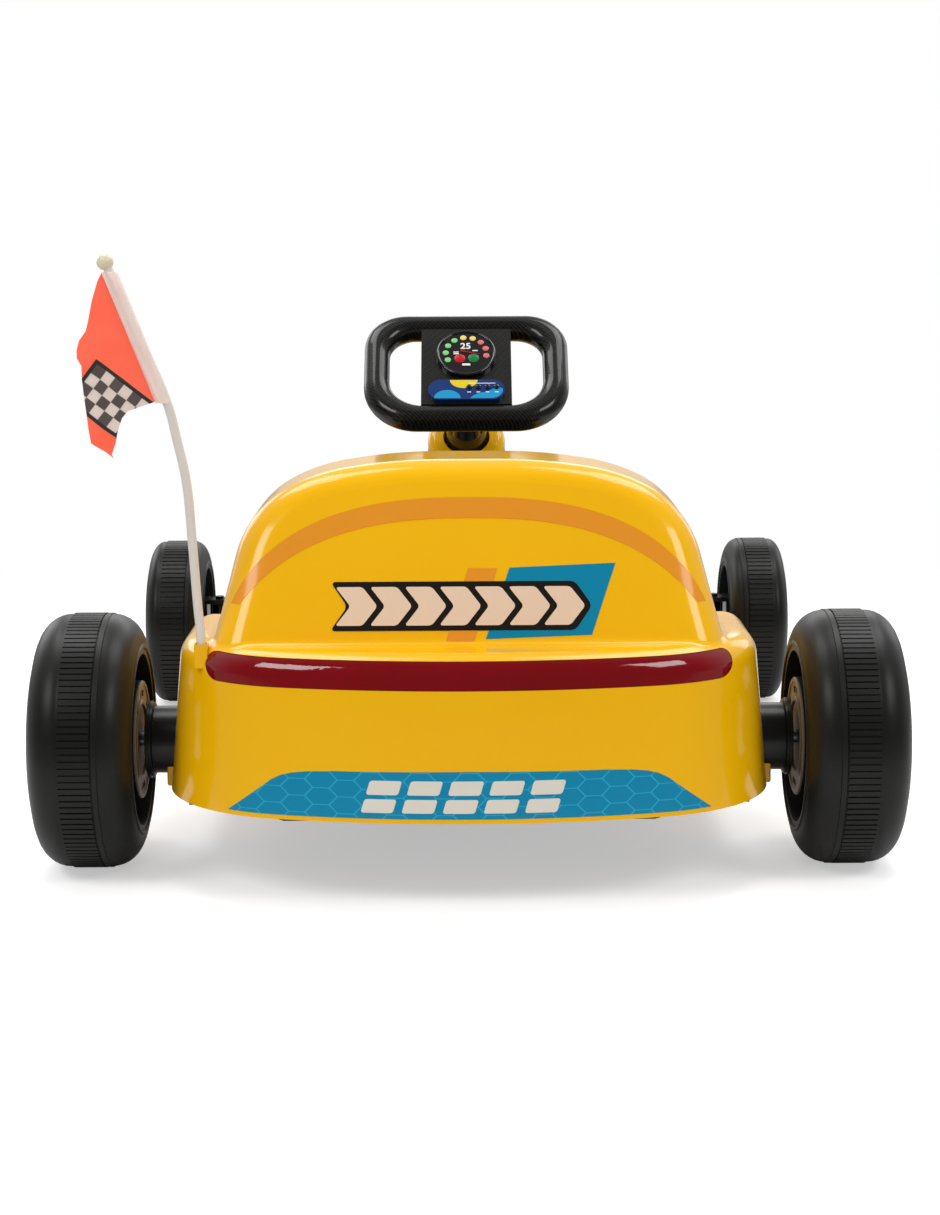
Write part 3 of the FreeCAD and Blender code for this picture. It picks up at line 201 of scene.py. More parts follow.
def bands(tree, place, spacing, direction="X"):
    """Soft parallel bands that repeat at a spacing."""
    return node(
        tree, "ShaderNodeTexWave", wave_type="BANDS", bands_direction=direction, Vector=place,
        Scale=WAVE_SCALE / spacing).outputs["Fac"]


def seen(tree):
    """1 for what the camera sees, straight or through clear plastic."""
    path = node(tree, "ShaderNodeLightPath").outputs
    return reckon(tree, "MAXIMUM", path["Is Camera Ray"], path["Is Transmission Ray"])


print("shader tools: fill, feed, node, new_finish, reckon, between, tinted, mixed, bands, seen")

# %% [markdown]
# ## World
# The studio's walls give an even level from all around. One grey world would do that, but the kart
# would then mirror the same grey on every side. So the world is asked what is looking at it: straight
# from the camera it is white, for matt surfaces it is even, and in a mirror image it is bright ahead
# of the kart and dim behind the photographer, as the room was.

# %% World
DIM_BEHIND, BRIGHT_AHEAD, EVEN = 0.12, 0.62, 0.5
BEHIND, AHEAD = -0.35, 0.45
world = bpy.context.scene.world or bpy.data.worlds.new("world")
bpy.context.scene.world = world
world.use_nodes = True
sky = world.node_tree
direction = node(sky, "ShaderNodeTexCoord").outputs["Generated"]
forward = node(sky, "ShaderNodeSeparateXYZ", Vector=direction).outputs["Y"]
path = node(sky, "ShaderNodeLightPath").outputs
room = between(sky, forward, BEHIND, AHEAD, DIM_BEHIND, BRIGHT_AHEAD)
mirrored = reckon(sky, "MULTIPLY", path["Is Glossy Ray"], room)
matt_level = reckon(sky, "MULTIPLY", path["Is Diffuse Ray"], EVEN)
level = reckon(sky, "MAXIMUM", reckon(sky, "MAXIMUM", seen(sky), mirrored), matt_level)
fill(sky.nodes["Background"], Color=(1, 1, 1, 1), Strength=level)
print("world:", len(sky.nodes), "nodes")

# %% [markdown]
# ## Ground
# The kart stands on a sheet of white paper that runs on out of sight. A plain white floor would turn
# grey far away and show a horizon. So the paper is matt near the kart, where it takes the shadow,
# with a little light of its own, and fades to pure white within a step from it.

# %% Ground
PAPER_WHITE, PAPER_LIFT, FAR_MIRRORED = 0.84, 0.46, 0.3
FADE_FROM, FADE_TO = 0.8, 1.5
bpy.ops.object.select_all(action="DESELECT")
bpy.ops.mesh.primitive_plane_add(size=16, location=(0, 0, 0))
ground = bpy.context.object
ground.name = "ground"

paper, tree, matt, place = new_finish("white paper ground")
fill(
    matt, Base_Color=(PAPER_WHITE, PAPER_WHITE, PAPER_WHITE, 1), Roughness=1.0, Specular_IOR_Level=0.0)
glow = node(tree, "ShaderNodeEmission", Strength=reckon(tree, "MULTIPLY", seen(tree), PAPER_LIFT))
near = feed(node(tree, "ShaderNodeAddShader"), matt.outputs[0], glow.outputs[0])
white = node(tree, "ShaderNodeEmission", Strength=between(tree, seen(tree), 0.0, 1.0, FAR_MIRRORED, 1.0))
distance = node(tree, "ShaderNodeVectorMath", operation="LENGTH", Vector=place).outputs["Value"]
fade = between(tree, distance, FADE_FROM, FADE_TO)
fill(tree.nodes["Material Output"], Surface=mixed(tree, fade, near.outputs[0], white.outputs[0]))
ground.data.materials.append(paper)
print("ground:", [round(v, 1) for v in ground.dimensions], "m")

# %% [markdown]
# ## Moulded plastics
# Nearly everything on the kart is moulded plastic. What sets one moulding apart from the next is its
# gloss and the fine surface of its mould: the yellow shells are polished and a little wavy, the
# wheels are blow-moulded with a dull skin, the small black parts are in between. A flat colour would
# look like a drawing, so one function builds such a finish from a slow change of shade, a fine grain
# and a broad waviness, and each plastic only gives its own amounts.

# %% Moulded plastics
def paint(red, green, blue):
    """A colour as the eye reads it, 0 to 255, as the linear values that shaders need."""
    def linear(v):
        v /= 255
        return v / 12.92 if v <= 0.04045 else ((v + 0.055) / 1.055) ** 2.4
    return (linear(red), linear(green), linear(blue), 1.0)


def moulded(name, colour, shade, rough, grain=0.0006, grain_depth=0.00002, wave=0.0,
            coat=0.0, coat_rough=0.05, specular=0.5):
    """Plastic: a slow change towards a darker shade, a fine grain, and a waviness of the mould."""
    material, tree, skin, place = new_finish(name)
    slow = node(tree, "ShaderNodeTexNoise", Vector=place, Scale=7.0, Detail=3.0).outputs["Fac"]
    fine = node(tree, "ShaderNodeTexNoise", Vector=place, Scale=1 / grain, Detail=4.0)
    spread = node(tree, "ShaderNodeMapRange", Value=slow, To_Min=rough * 0.85, To_Max=rough * 1.2)
    bump = node(tree, "ShaderNodeBump", Strength=1.0, Distance=grain_depth, Height=fine.outputs["Fac"])
    if wave:
        broad = node(tree, "ShaderNodeTexNoise", Vector=place, Scale=11.0, Detail=1.0)
        waves = node(tree, "ShaderNodeBump", Strength=1.0, Distance=wave, Height=broad.outputs["Fac"])
        fill(bump, Normal=waves.outputs["Normal"])
    fill(
        skin, Base_Color=tinted(tree, slow, colour, shade), Roughness=spread.outputs["Result"],
        Coat_Weight=coat, Coat_Roughness=coat_rough, Specular_IOR_Level=specular,
        Normal=bump.outputs["Normal"])
    return material


YELLOW = moulded(
    "polished yellow plastic", paint(252, 192, 6), paint(247, 182, 4), rough=0.16, grain=0.0009,
    grain_depth=0.000004, wave=0.0010, coat=0.25, coat_rough=0.04, specular=0.3)
BLACK = moulded(
    "satin black plastic", paint(24, 23, 22), paint(16, 15, 15), rough=0.3, grain=0.0005, specular=0.35)
WHEEL = moulded(
    "dull black wheel plastic", paint(25, 26, 23), paint(17, 18, 16), rough=0.38, grain=0.0005,
    grain_depth=0.00003, wave=0.0006, specular=0.28)
HUB = moulded("grey-brown hub plastic", paint(120, 106, 92), paint(100, 88, 76), rough=0.35)
SEAT = moulded(
    "black seat moulding", paint(34, 34, 35), paint(26, 26, 27), rough=0.5, grain=0.0012,
    grain_depth=0.00010)
CREAM = moulded("cream plastic", paint(238, 226, 196), paint(228, 214, 182), rough=0.25)
POLE = moulded("milky pole plastic", paint(236, 228, 218), paint(226, 216, 204), rough=0.35)
STEEL = moulded(
    "bright zinc", paint(176, 178, 180), paint(150, 152, 155), rough=0.3, grain=0.0004,
    grain_depth=0.00001)
fill(STEEL.node_tree.nodes["Principled BSDF"], Metallic=1.0)
print("finishes:", [m.name for m in (YELLOW, BLACK, WHEEL, HUB, SEAT, CREAM, POLE, STEEL)])

# %% [markdown]
# ## Finishes on the solids
# The shells, the seat, the floor and the steering gear are solids of the frame, with their true
# shapes. Nothing is modelled over them. Each only gets its finish, put into the material slot that
# it already has, so that its mesh stays as it is.

# %% Finishes on the solids
def dress(material, *names):
    """Gives solids of the frame their finish; a name may end in _ for both sides."""
    for name in names:
        for full in ([name + side for side, sign in SIDES] if name.endswith("_") else [name]):
            nodes[full].material_slots[0].material = material


dress(YELLOW, "tail_body", "nose_body", "side_pod_", "flag_socket")
dress(BLACK, "floor_pan", "gearbox_", "knuckle_", "front_beam", "tie_rod", "column_bracket")
dress(BLACK, "accelerator_pedal", "switch_plate", "charging_socket", "nose_bumper", "battery")
dress(WHEEL, "rear_tyre_", "front_tyre_", "rear_rim_", "front_rim_", "rear_cap_", "front_cap_")
dress(SEAT, "seat")
dress(STEEL, "rear_axle", "axle_nut_", "steering_shaft")
dress(POLE, "flag_pole")
dress(CREAM, "pole_tip")
print("dressed:", len(nodes), "solids")

# %% [markdown]
# ## Modelling tools
# Blender's operators work on what is selected, as by hand. These tools do what comes back in almost
# every cell: select one piece, apply a modifier, weld points, turn faces outwards, pull a selection
# out, or pick points, edges and faces by their place. One ends a piece and sets the body of the kart
# that it rides on.

# %% Modelling tools
def alone(piece):
    """Selects one piece and nothing else, in object mode."""
    bpy.ops.object.mode_set(mode="OBJECT")
    bpy.ops.object.select_all(action="DESELECT")
    piece.select_set(True)
    bpy.context.view_layer.objects.active = piece


def modify(piece, kind, **settings):
    """Adds a modifier to the active piece, fills in its settings and applies it."""
    bpy.ops.object.mode_set(mode="OBJECT")
    bpy.ops.object.modifier_add(type=kind)
    added = piece.modifiers[-1]
    for name, value in settings.items():
        setattr(added, name, value)
    bpy.ops.object.modifier_apply(modifier=added.name)


def weld():
    """Merges points that lie on each other, in edit mode."""
    bpy.ops.mesh.select_all(action="SELECT")
    bpy.ops.mesh.remove_doubles(threshold=0.00001)


def outward():
    """Turns all faces outwards, in edit mode."""
    bpy.ops.mesh.select_all(action="SELECT")
    bpy.ops.mesh.normals_make_consistent(inside=False)


def named(name):
    """The piece that was just added, under its name."""
    piece = bpy.context.object
    piece.name = piece.data.name = name
    return piece


def pull(way):
    """Extrudes what is selected by a vector."""
    bpy.ops.mesh.extrude_region_move(TRANSFORM_OT_translate={"value": way})


def pick(piece, kind, test):
    """Selects what passes a test: of a vertex's place, an edge's two ends, a face's middle and normal."""
    bpy.ops.object.mode_set(mode="EDIT")
    bpy.ops.mesh.select_mode(type=kind)
    bpy.ops.mesh.select_all(action="DESELECT")
    bpy.ops.object.mode_set(mode="OBJECT")
    mesh = piece.data
    if kind == "FACE":
        chosen = [f for f in mesh.polygons if test(f.center, f.normal)]
    elif kind == "EDGE":
        chosen = [e for e in mesh.edges if test(*(mesh.vertices[i].co for i in e.vertices))]
    else:
        chosen = [v for v in mesh.vertices if test(v.co)]
    for item in chosen:
        item.select = True
    bpy.ops.object.mode_set(mode="EDIT")


def finish_piece(piece, body, material, angle=35):
    """Ends a piece: its place in its mesh, smooth by angle, its finish and the body it rides on."""
    alone(piece)
    bpy.ops.object.transform_apply(location=True, rotation=True, scale=True)
    bpy.ops.object.shade_smooth_by_angle(angle=math.radians(angle))
    piece.data.materials.clear()
    piece.data.materials.append(material)
    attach(piece, body)


def middle_of(name):
    """The middle of a solid's box."""
    low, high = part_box(name)
    return (low + high) / 2


print("modelling tools: alone, modify, weld, outward, named, pull, pick, finish_piece, middle_of")

# %% [markdown]
# ## Drawing with a vertex
# A wheel is a body of revolution, so it is made as on a lathe. A single vertex is drawn out point by
# point into the wheel's section, and the section is then spun round the axle. A cylinder could be
# bevelled into a tyre instead, but a drawn section holds the groove and the beads at once. The same
# pencil draws the flat outlines of the stickers and the flag later on.

# %% Drawing with a vertex
def start(name, place=(0, 0, 0)):
    """A new object with one vertex, in edit mode."""
    bpy.ops.object.select_all(action="DESELECT")
    bpy.ops.mesh.primitive_plane_add(size=0.001, location=(0, 0, 0))
    piece = named(name)
    bpy.ops.object.mode_set(mode="EDIT")
    bpy.ops.mesh.select_mode(type="VERT")
    bpy.ops.mesh.merge(type="CENTER")
    bpy.ops.transform.translate(value=place)
    return piece


def draw(points):
    """Draws the last vertex out along points, each an end point of the next stroke."""
    for before, after in zip(points, points[1:]):
        pull(Vector(after) - Vector(before))


def drawn(name, places):
    """A new piece whose outline goes through the places, closed with a face, in edit mode."""
    piece = start(name, places[0])
    draw(places)
    bpy.ops.mesh.select_all(action="SELECT")
    bpy.ops.mesh.edge_face_add()
    return piece


def lathe(name, points, centre, steps):
    """Spins a section of (along, radius) round an axle through centre, along X."""
    x, y, z = centre
    places = [(x + a, y, z + r) for a, r in points]
    piece = start(name, places[0])
    draw(places)
    bpy.ops.mesh.select_all(action="SELECT")
    bpy.ops.mesh.spin(steps=steps, angle=math.tau, center=centre, axis=(1, 0, 0))
    weld()
    outward()
    return piece


def arc(centre, radius, first, last, count):
    """Points on an arc about a centre, with a radius each way, from one angle to another in degrees."""
    angles = [math.radians(first + (last - first) * i / count) for i in range(count + 1)]
    return [(centre[0] + radius[0] * math.cos(a), centre[1] + radius[1] * math.sin(a)) for a in angles]


print("drawing tools: start, draw, drawn, lathe, arc")

# %% [markdown]
# ## Tyres
# A tyre of this kart is hard plastic with a smooth tread. A band of low bars runs round its middle,
# and beside it a smooth strip ends in a fine groove. The bars could be one bar copied round the
# wheel, but then each would be a loose piece. Here the section holds the shoulders, the strip and
# the groove, it is spun in as many steps as there are bars, and each face of the band is inset and
# raised, which makes one bar.

# %% Tyres
BARS = {"rear": 120, "front": 96}
BAR_GAP, BAR_RISE = 0.0007, 0.0013
TREAD_DROP, STRIP_DROP, GROOVE_DEPTH, SOLE = 0.0014, 0.0002, 0.001, 0.003
GROOVE = (-0.0205, -0.0202, -0.0192, -0.0189)
STRIP = (-0.0180, -0.0138)
BAND = (-0.0132, 0.0150)
BAND_ROOM, SHOULDER = 0.0175, 0.028
BEAD = [(0.004, 0), (0.0008, 0), (0.0, 0.0008), (0.0, 0.0026), (0.0010, 0.0034)]


def tyre_section(half, opening, outside):
    """The section as (along, radius): bead, inner shoulder, groove, strip, band, outer shoulder, bead."""
    tread = outside - TREAD_DROP
    width = min(half - BAND_ROOM, SHOULDER)
    aside, up = BEAD[-1]
    round_off = (width - aside, tread - opening - SOLE)
    section = [(along - half, opening + out) for along, out in BEAD]
    section += arc((width - half, opening + up), round_off, 180, 90, 9)[1:]
    section += [(GROOVE[0], tread), (GROOVE[1], tread - GROOVE_DEPTH)]
    section += [(GROOVE[2], tread - GROOVE_DEPTH), (GROOVE[3], tread)]
    section += [(STRIP[0], outside - STRIP_DROP), (STRIP[1], outside - STRIP_DROP)]
    section += [(BAND[0], outside - BAR_RISE), (BAND[1], outside - BAR_RISE), (BAND[1] + 0.0006, tread)]
    section += arc((half - width, opening + up), round_off, 90, 0, 9)
    return section + [(half - along, opening + out) for along, out in reversed(BEAD[:-1])]


def tyre(end, side, sign):
    """One tyre, with its ribbed band, in the place of its solid."""
    low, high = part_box(f"{end}_tyre_{side}")
    rim_low, rim_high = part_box(f"{end}_rim_{side}")
    centre = (low + high) / 2
    outside = (high.z - low.z) / 2
    section = tyre_section((high.x - low.x) / 2, (rim_high.z - rim_low.z) / 2, outside)
    piece = lathe(f"{end}_tread_{side}", [(sign * a, r) for a, r in section], centre, BARS[end])
    middle = centre.x + sign * sum(BAND) / 2

    def on_band(at, normal):
        radius = math.hypot(at.y - centre.y, at.z - centre.z)
        return abs(at.x - middle) < 0.006 and radius > outside - TREAD_DROP - 0.002

    pick(piece, "FACE", on_band)
    bpy.ops.mesh.inset(thickness=BAR_GAP, use_individual=True)
    bpy.ops.mesh.extrude_faces_move(TRANSFORM_OT_shrink_fatten={"value": BAR_RISE})
    finish_piece(piece, f"{end}_wheel_{side}", WHEEL, 30)
    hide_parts(f"{end}_tyre_{side}")
    print(piece.name, len(piece.data.polygons), "faces, box", [round(v / MM, 1) for v in piece.dimensions])


for end in BARS:
    for side, sign in SIDES:
        tyre(end, side, sign)

# %% [markdown]
# ## Hub discs and neck rings
# The rear hubs end in a dull disc with six curved slots, seen past the drive housing. The slots could
# be painted on, but light has to fall through them. So the disc is spun from its stepped section,
# and six curved blocks are taken out of it with a boolean. A stepped black ring closes the neck of
# the housing just before the disc. It catches a thin light and tells the eye that the housing ends
# there. It is spun from its steps in the same way.

# %% Hub discs and neck rings
PLATE = [
    (0.8, 30.5), (-1.0, 30.5), (-1.6, 31.2), (-1.6, 33.5), (-0.9, 34.2), (-0.9, 46.6),
    (-1.9, 47.4), (-1.9, 50.0), (-1.2, 50.8), (0.8, 50.8), (0.8, 30.5),
]
STEPS = [
    (-6.2, 29.0), (-6.2, 31.0), (-5.4, 32.4), (-3.6, 32.4), (-3.2, 33.4), (-1.2, 33.4),
    (-0.4, 32.6), (-0.4, 29.0), (-6.2, 29.0),
]
PLATE_OUT = 1.5 * MM
SLOT_INNER, SLOT_OUTER = 37.5 * MM, 43.0 * MM
SLOT_FROM, SLOT_TO, SLOT_EVERY = 10, 42, 60


def slot_blocks(face, sign, axle):
    """The curved blocks that cut the slots, round an axle, as one mesh."""
    blocks = start("slots")
    bpy.ops.mesh.delete(type="VERT")
    for turned in range(0, 360, SLOT_EVERY):
        far = arc((0, 0), (SLOT_OUTER, SLOT_OUTER), turned + SLOT_FROM, turned + SLOT_TO, 6)
        near = arc((0, 0), (SLOT_INNER, SLOT_INNER), turned + SLOT_TO, turned + SLOT_FROM, 6)
        outline = [Vector((sign * (face - 4 * MM), y, z)) + axle for y, z in far + near]
        bpy.ops.mesh.select_all(action="DESELECT")
        bpy.ops.mesh.primitive_plane_add(size=0.001, location=outline[0])
        bpy.ops.mesh.merge(type="CENTER")
        draw(outline)
        bpy.ops.mesh.select_linked()
        bpy.ops.mesh.edge_face_add()
        pull((sign * 9 * MM, 0, 0))
    outward()
    return blocks


for side, sign in SIDES:
    low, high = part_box(f"rear_rim_{side}")
    face = min(abs(low.x), abs(high.x)) + PLATE_OUT
    axle = middle_of(f"rear_rim_{side}")
    axle.x = 0
    plate = lathe(f"hub_plate_{side}", [(sign * (face + a * MM), r * MM) for a, r in PLATE], axle, 72)
    bpy.ops.object.mode_set(mode="OBJECT")
    cutter = slot_blocks(face, sign, axle)
    alone(plate)
    modify(plate, "BOOLEAN", operation="DIFFERENCE", solver="EXACT", object=cutter)
    bpy.data.objects.remove(cutter)
    finish_piece(plate, f"rear_wheel_{side}", HUB)
    reach = max(abs(corner.x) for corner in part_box(f"gearbox_{side}"))
    ring = lathe(f"neck_ring_{side}", [(sign * (reach + a * MM), r * MM) for a, r in STEPS], axle, 64)
    finish_piece(ring, "chassis", BLACK)
    print(plate.name, len(plate.data.polygons), "faces;", ring.name, "ends at", round(reach, 4))

# %% [markdown]
# ## Printed foils
# The tail is decorated with printed foils. They are a little duller than the shell under them and
# take on its waviness, so they use the same plastic with a thin gloss. Each print has one colour.

# %% Printed foils
def printed(name, colour, rough=0.22):
    """Printed foil: an even colour with the faint unevenness of the shell below, under clear gloss."""
    shade = tuple(0.93 * c for c in colour[:3]) + (1.0,)
    return moulded(
        name, colour, shade, rough, grain=0.0008, grain_depth=0.000003, wave=0.0008, coat=0.15,
        specular=0.3)


ORANGE = printed("orange foil", paint(238, 152, 36))
BLUE = printed("blue foil", paint(0, 136, 174))
INK = printed("black foil", paint(30, 24, 20))
PALE = printed("peach foil", paint(240, 210, 182))
MILKY = printed("milky foil", paint(232, 226, 212))
print("foils:", [m.name for m in (ORANGE, BLUE, INK, PALE, MILKY)])

# %% [markdown]
# ## Honeycomb print
# The blue panel at the bottom of the tail has thin pale hexagons in its print. Hundreds of modelled
# lines would be heavy, so the shader draws them. Two even lattices, one shifted by half a cell, hold
# the centres of all hexagons. A point belongs to the nearer centre, and how far it is towards the
# cell's edge says whether it lies on a line.

# %% Honeycomb print
CELL_WIDTH, CELL_HEIGHT, CELL_LINE = 0.040, 0.0135, 0.035
ROOT_3 = 1.732


def honeycomb(material, width, height, line, colour):
    """Adds long hexagons in thin lines, in the upright plane. Width and height are of their lattice."""
    tree = material.node_tree
    skin = tree.nodes["Principled BSDF"]

    def step(operation, *terms):
        made = feed(node(tree, "ShaderNodeVectorMath", operation=operation), *terms)
        return made.outputs["Value" if operation in ("LENGTH", "DOT_PRODUCT") else "Vector"]

    place = node(tree, "ShaderNodeTexCoord").outputs["Object"]
    offsets, reaches = [], []
    for shift in (0.0, 0.5):
        cell = step("MULTIPLY_ADD", place, (1 / width, 0, 1 / height), (shift + 50, 0, shift + 50))
        inner = step("SUBTRACT", step("FRACTION", cell), (0.5, 0, 0.5))
        offsets.append(step("ABSOLUTE", step("MULTIPLY", inner, (ROOT_3, 0, 1))))
        reaches.append(step("LENGTH", offsets[-1]))
    nearer = reckon(tree, "LESS_THAN", reaches[1], reaches[0])
    own = node(tree, "ShaderNodeMix", data_type="VECTOR", Factor=nearer, A=offsets[0], B=offsets[1])
    slanted = step("DOT_PRODUCT", own.outputs["Result"], (ROOT_3 / 2, 0, 0.5))
    flat = step("DOT_PRODUCT", own.outputs["Result"], (0, 0, 1))
    edge = reckon(tree, "MAXIMUM", slanted, flat)
    mask = node(tree, "ShaderNodeMapRange", Value=edge, From_Min=0.5 - line, From_Max=0.5 - line / 2)
    before = skin.inputs["Base Color"].links[0].from_socket
    fill(skin, Base_Color=tinted(tree, mask.outputs["Result"], before, colour))
    return material


HONEYCOMB = honeycomb(
    printed("blue foil with hexagons", paint(0, 138, 178)), CELL_WIDTH, CELL_HEIGHT, CELL_LINE,
    paint(40, 168, 202))
print("honeycomb:", len(HONEYCOMB.node_tree.nodes), "nodes")

# %% [markdown]
# ## Pressing a sticker on
# A sticker is flat foil that follows a curved shell. Painting it in the shell's shader would need a
# picture. Instead each one is drawn flat behind the tail, cut into a fine grid so that it can bend,
# and pressed onto the shell along Y with a shrinkwrap. Then it gets the thickness of foil, and what
# lies on top of another sticker is lifted by a layer.

# %% Pressing a sticker on
FOIL = 0.22 * MM
FIRST_LIFT, LAYER = 0.10 * MM, 0.26 * MM


def slice_up(axis, at, last, pitch):
    """Cuts the drawn sheet across X (axis 0) or Z (axis 2) at even steps from a place up to the last."""
    while at < last:
        bpy.ops.mesh.select_all(action="SELECT")
        bpy.ops.mesh.bisect(plane_co=(at, 0, at), plane_no=[1.0 * (axis == i) for i in range(3)])
        at += pitch


def sticker(name, outline, material, lift=1, corner=0.0, grid=6 * MM, bridge=None):
    """A foil cut to an outline of (x, z) and pressed onto the tail from behind.

    A bridge is a test of the points that fall into an opening, which are smoothed across it.
    """
    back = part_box("tail_body")[0].y - 0.02
    places = [(x * MM, back, z * MM) for x, z in outline]
    piece = drawn(name, places)
    if corner:
        bpy.ops.mesh.bevel(offset=corner * MM, segments=4, affect="VERTICES")
    for axis in (0, 2):
        values = [p[axis] for p in places]
        slice_up(axis, math.ceil(min(values) / grid) * grid, max(values), grid)
    modify(
        piece, "SHRINKWRAP", wrap_method="PROJECT", use_project_y=True, use_positive_direction=True,
        use_negative_direction=False, target=nodes["tail_body"], offset=FIRST_LIFT + LAYER * lift)
    if bridge is not None:
        pick(piece, "VERT", bridge)
        bpy.ops.mesh.vertices_smooth(factor=0.8, repeat=300)
    bpy.ops.object.mode_set(mode="EDIT")
    outward()
    bpy.ops.object.mode_set(mode="OBJECT")
    if sum(f.normal.y for f in piece.data.polygons) > 0:
        bpy.ops.object.mode_set(mode="EDIT")
        bpy.ops.mesh.flip_normals()
    modify(piece, "SOLIDIFY", thickness=FOIL, offset=-1)
    finish_piece(piece, "chassis", material, 40)
    print(name, len(piece.data.polygons), "faces")


def chevron(x, width, low, high, depth):
    """A bar whose two ends both point to the right."""
    middle = (low + high) / 2
    lower_edge = [(x, low), (x + width, low), (x + width + depth, middle)]
    return lower_edge + [(x + width, high), (x, high), (x + depth, middle)]


print("sticker tools: slice_up, sticker, chevron")

# %% [markdown]
# ## Stickers of the hump
# The hump carries an orange arc near its edge, a blue panel with an orange bar beside it, and a row
# of seven pale chevrons in a black frame. The arc is a squarish oval rather than a circle, because
# the hump is one, and a formula draws it. The chevrons are one outline, moved on step by step.

# %% Stickers of the hump
CHEVRONS, CHEVRON_STEP = 7, 28.6


def oval(half_width, centre, top, first, last, count):
    """Points on a full, squarish oval about the middle plane, from one angle to another."""
    points = []
    for i in range(count + 1):
        a = math.radians(first + (last - first) * i / count)
        c, s = math.cos(a), math.sin(a)
        points.append((half_width * math.copysign(abs(c) ** 0.8, c), centre + (top - centre) * s ** 0.8))
    return points


upper_edge = oval(208, 174, 323.3, 159, 21, 44)
lower_edge = oval(218, 132, 306.8, 33, 147, 44)
sticker("hump_arc", upper_edge + lower_edge, ORANGE)
panel = [(34.1, 267.5), (122.1, 270.9), (101.4, 215.2), (14.1, 212.3)]
sticker("hump_panel", panel, BLUE)
sticker("hump_bar", [(-0.3, 267.3), (24, 267.2), (4.3, 210.8), (-18.7, 210.9)], ORANGE)
sticker("hump_frame", chevron(-114, 202, 219, 257, 14), INK, 2, 4)
for i in range(CHEVRONS):
    shape = chevron(-110 + CHEVRON_STEP * i, 22.4, 223, 253, 12.5)
    sticker(f"hump_chevron_{i + 1}", shape, PALE, 3, 2.6)

# %% [markdown]
# ## Stickers of the apron
# Below the lamp a wide blue panel follows the tail's lower edge. Its ends sweep down in a soft curve.
# Two rows of slanted bars lie on it. One half of the panel's outline is drawn and mirrored, so that
# both ends are alike, and the bars of both rows lean on the same slope.

# %% Stickers of the apron
STRIPES, STRIPE_STEP, STRIPE_WIDTH, STRIPE_FOOT, STRIPE_LEAN = 5, 33, 26, 82.5, 0.3
STRIPE_ROWS = {"low": (82.5, 93.6), "high": (97.0, 108.5)}
right_half = [(112, 115), (133, 113.9), (144, 112.4), (153, 110), (161, 106), (198, 77.8)]
left_half = [(-x, z) for x, z in reversed(right_half)]
sticker("apron_panel", left_half + [(0, 116)] + right_half, HONEYCOMB)
for i in range(STRIPES):
    for row, (low, high) in STRIPE_ROWS.items():
        foot, head = [-88 + STRIPE_STEP * i + STRIPE_LEAN * (z - STRIPE_FOOT) for z in (low, high)]
        bar = [(foot, low), (foot + STRIPE_WIDTH, low), (head + STRIPE_WIDTH, high), (head, high)]
        sticker(f"apron_stripe_{i + 1}_{row}", bar, MILKY, 2, 2.2)

# %% [markdown]
# ## Flag socket
# The flag's socket is a short square cup on the shelf's edge. It is a cube with rounded uprights,
# whose top is inset and pushed in. Below the cup the shell runs on smoothly, so a skin is pressed
# onto the shell there, like a sticker, and its middle is smoothed over the opening.

# %% Flag socket
CUP_DEPTH, CUP_WALL, CUP_HOLLOW = 20 * MM, 0.9 * MM, 6 * MM
SKIRT_LOW, SKIRT_HIGH = 161, 192
low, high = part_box("flag_socket")
bpy.ops.object.select_all(action="DESELECT")
bpy.ops.mesh.primitive_cube_add(size=1, location=(low + high) / 2)
cup = named("socket_cup")
cup.scale = (high.x - low.x, high.y - low.y, CUP_DEPTH)
cup.location.z = high.z - CUP_DEPTH / 2
bpy.ops.object.transform_apply(location=True, scale=True)
pick(cup, "EDGE", lambda a, b: abs(a.z - b.z) > MM)
bpy.ops.mesh.bevel(offset=1.0 * MM, segments=3)
pick(cup, "FACE", lambda middle, normal: normal.z > 0.9)
bpy.ops.mesh.inset(thickness=CUP_WALL)
pull((0, 0, -CUP_HOLLOW))
finish_piece(cup, "chassis", YELLOW)
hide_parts("flag_socket")


def over_opening(at):
    """True for the skirt's points that fell into the socket's opening, or past the shell's corner."""
    inside = at.x > low.x - 0.2 * MM and at.y > high.y - 0.6 * MM
    return inside or at.y > high.y + 10 * MM or at.y < low.y - 40 * MM


near_edge, far_edge = low.x / MM - 4.4, high.x / MM + 3.6
skirt = [(near_edge, SKIRT_LOW), (far_edge, SKIRT_LOW), (far_edge, SKIRT_HIGH), (near_edge, SKIRT_HIGH)]
sticker("socket_skirt", skirt, YELLOW, 0.2, grid=1.5 * MM, bridge=over_opening)
print("socket cup:", len(cup.data.polygons), "faces")

# %% [markdown]
# ## Floor tray
# The floor tray closes the kart from below. From behind nothing black shows under the rounded tail,
# so the tray's rear corners are cut off on a slant. The solid's mesh stays as it is: a copy of it is
# welded, cut with two planes and shown in its place.

# %% Floor tray
TRAY_CUT, TRAY_CUT_WAY = (0.155, -0.435), (0.72, -0.69)
tray = bpy.data.objects.new("floor_tray", nodes["floor_pan"].data.copy())
bpy.context.scene.collection.objects.link(tray)
alone(tray)
bpy.ops.object.mode_set(mode="EDIT")
weld()
for side, sign in SIDES:
    bpy.ops.mesh.select_all(action="SELECT")
    at, way = (sign * TRAY_CUT[0], TRAY_CUT[1], 0), (sign * TRAY_CUT_WAY[0], TRAY_CUT_WAY[1], 0)
    bpy.ops.mesh.bisect(plane_co=at, plane_no=way, use_fill=True, clear_outer=True)
bpy.ops.mesh.customdata_custom_splitnormals_clear()
finish_piece(tray, "chassis", BLACK, 30)
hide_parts("floor_pan")
print("floor tray:", len(tray.data.polygons), "faces")

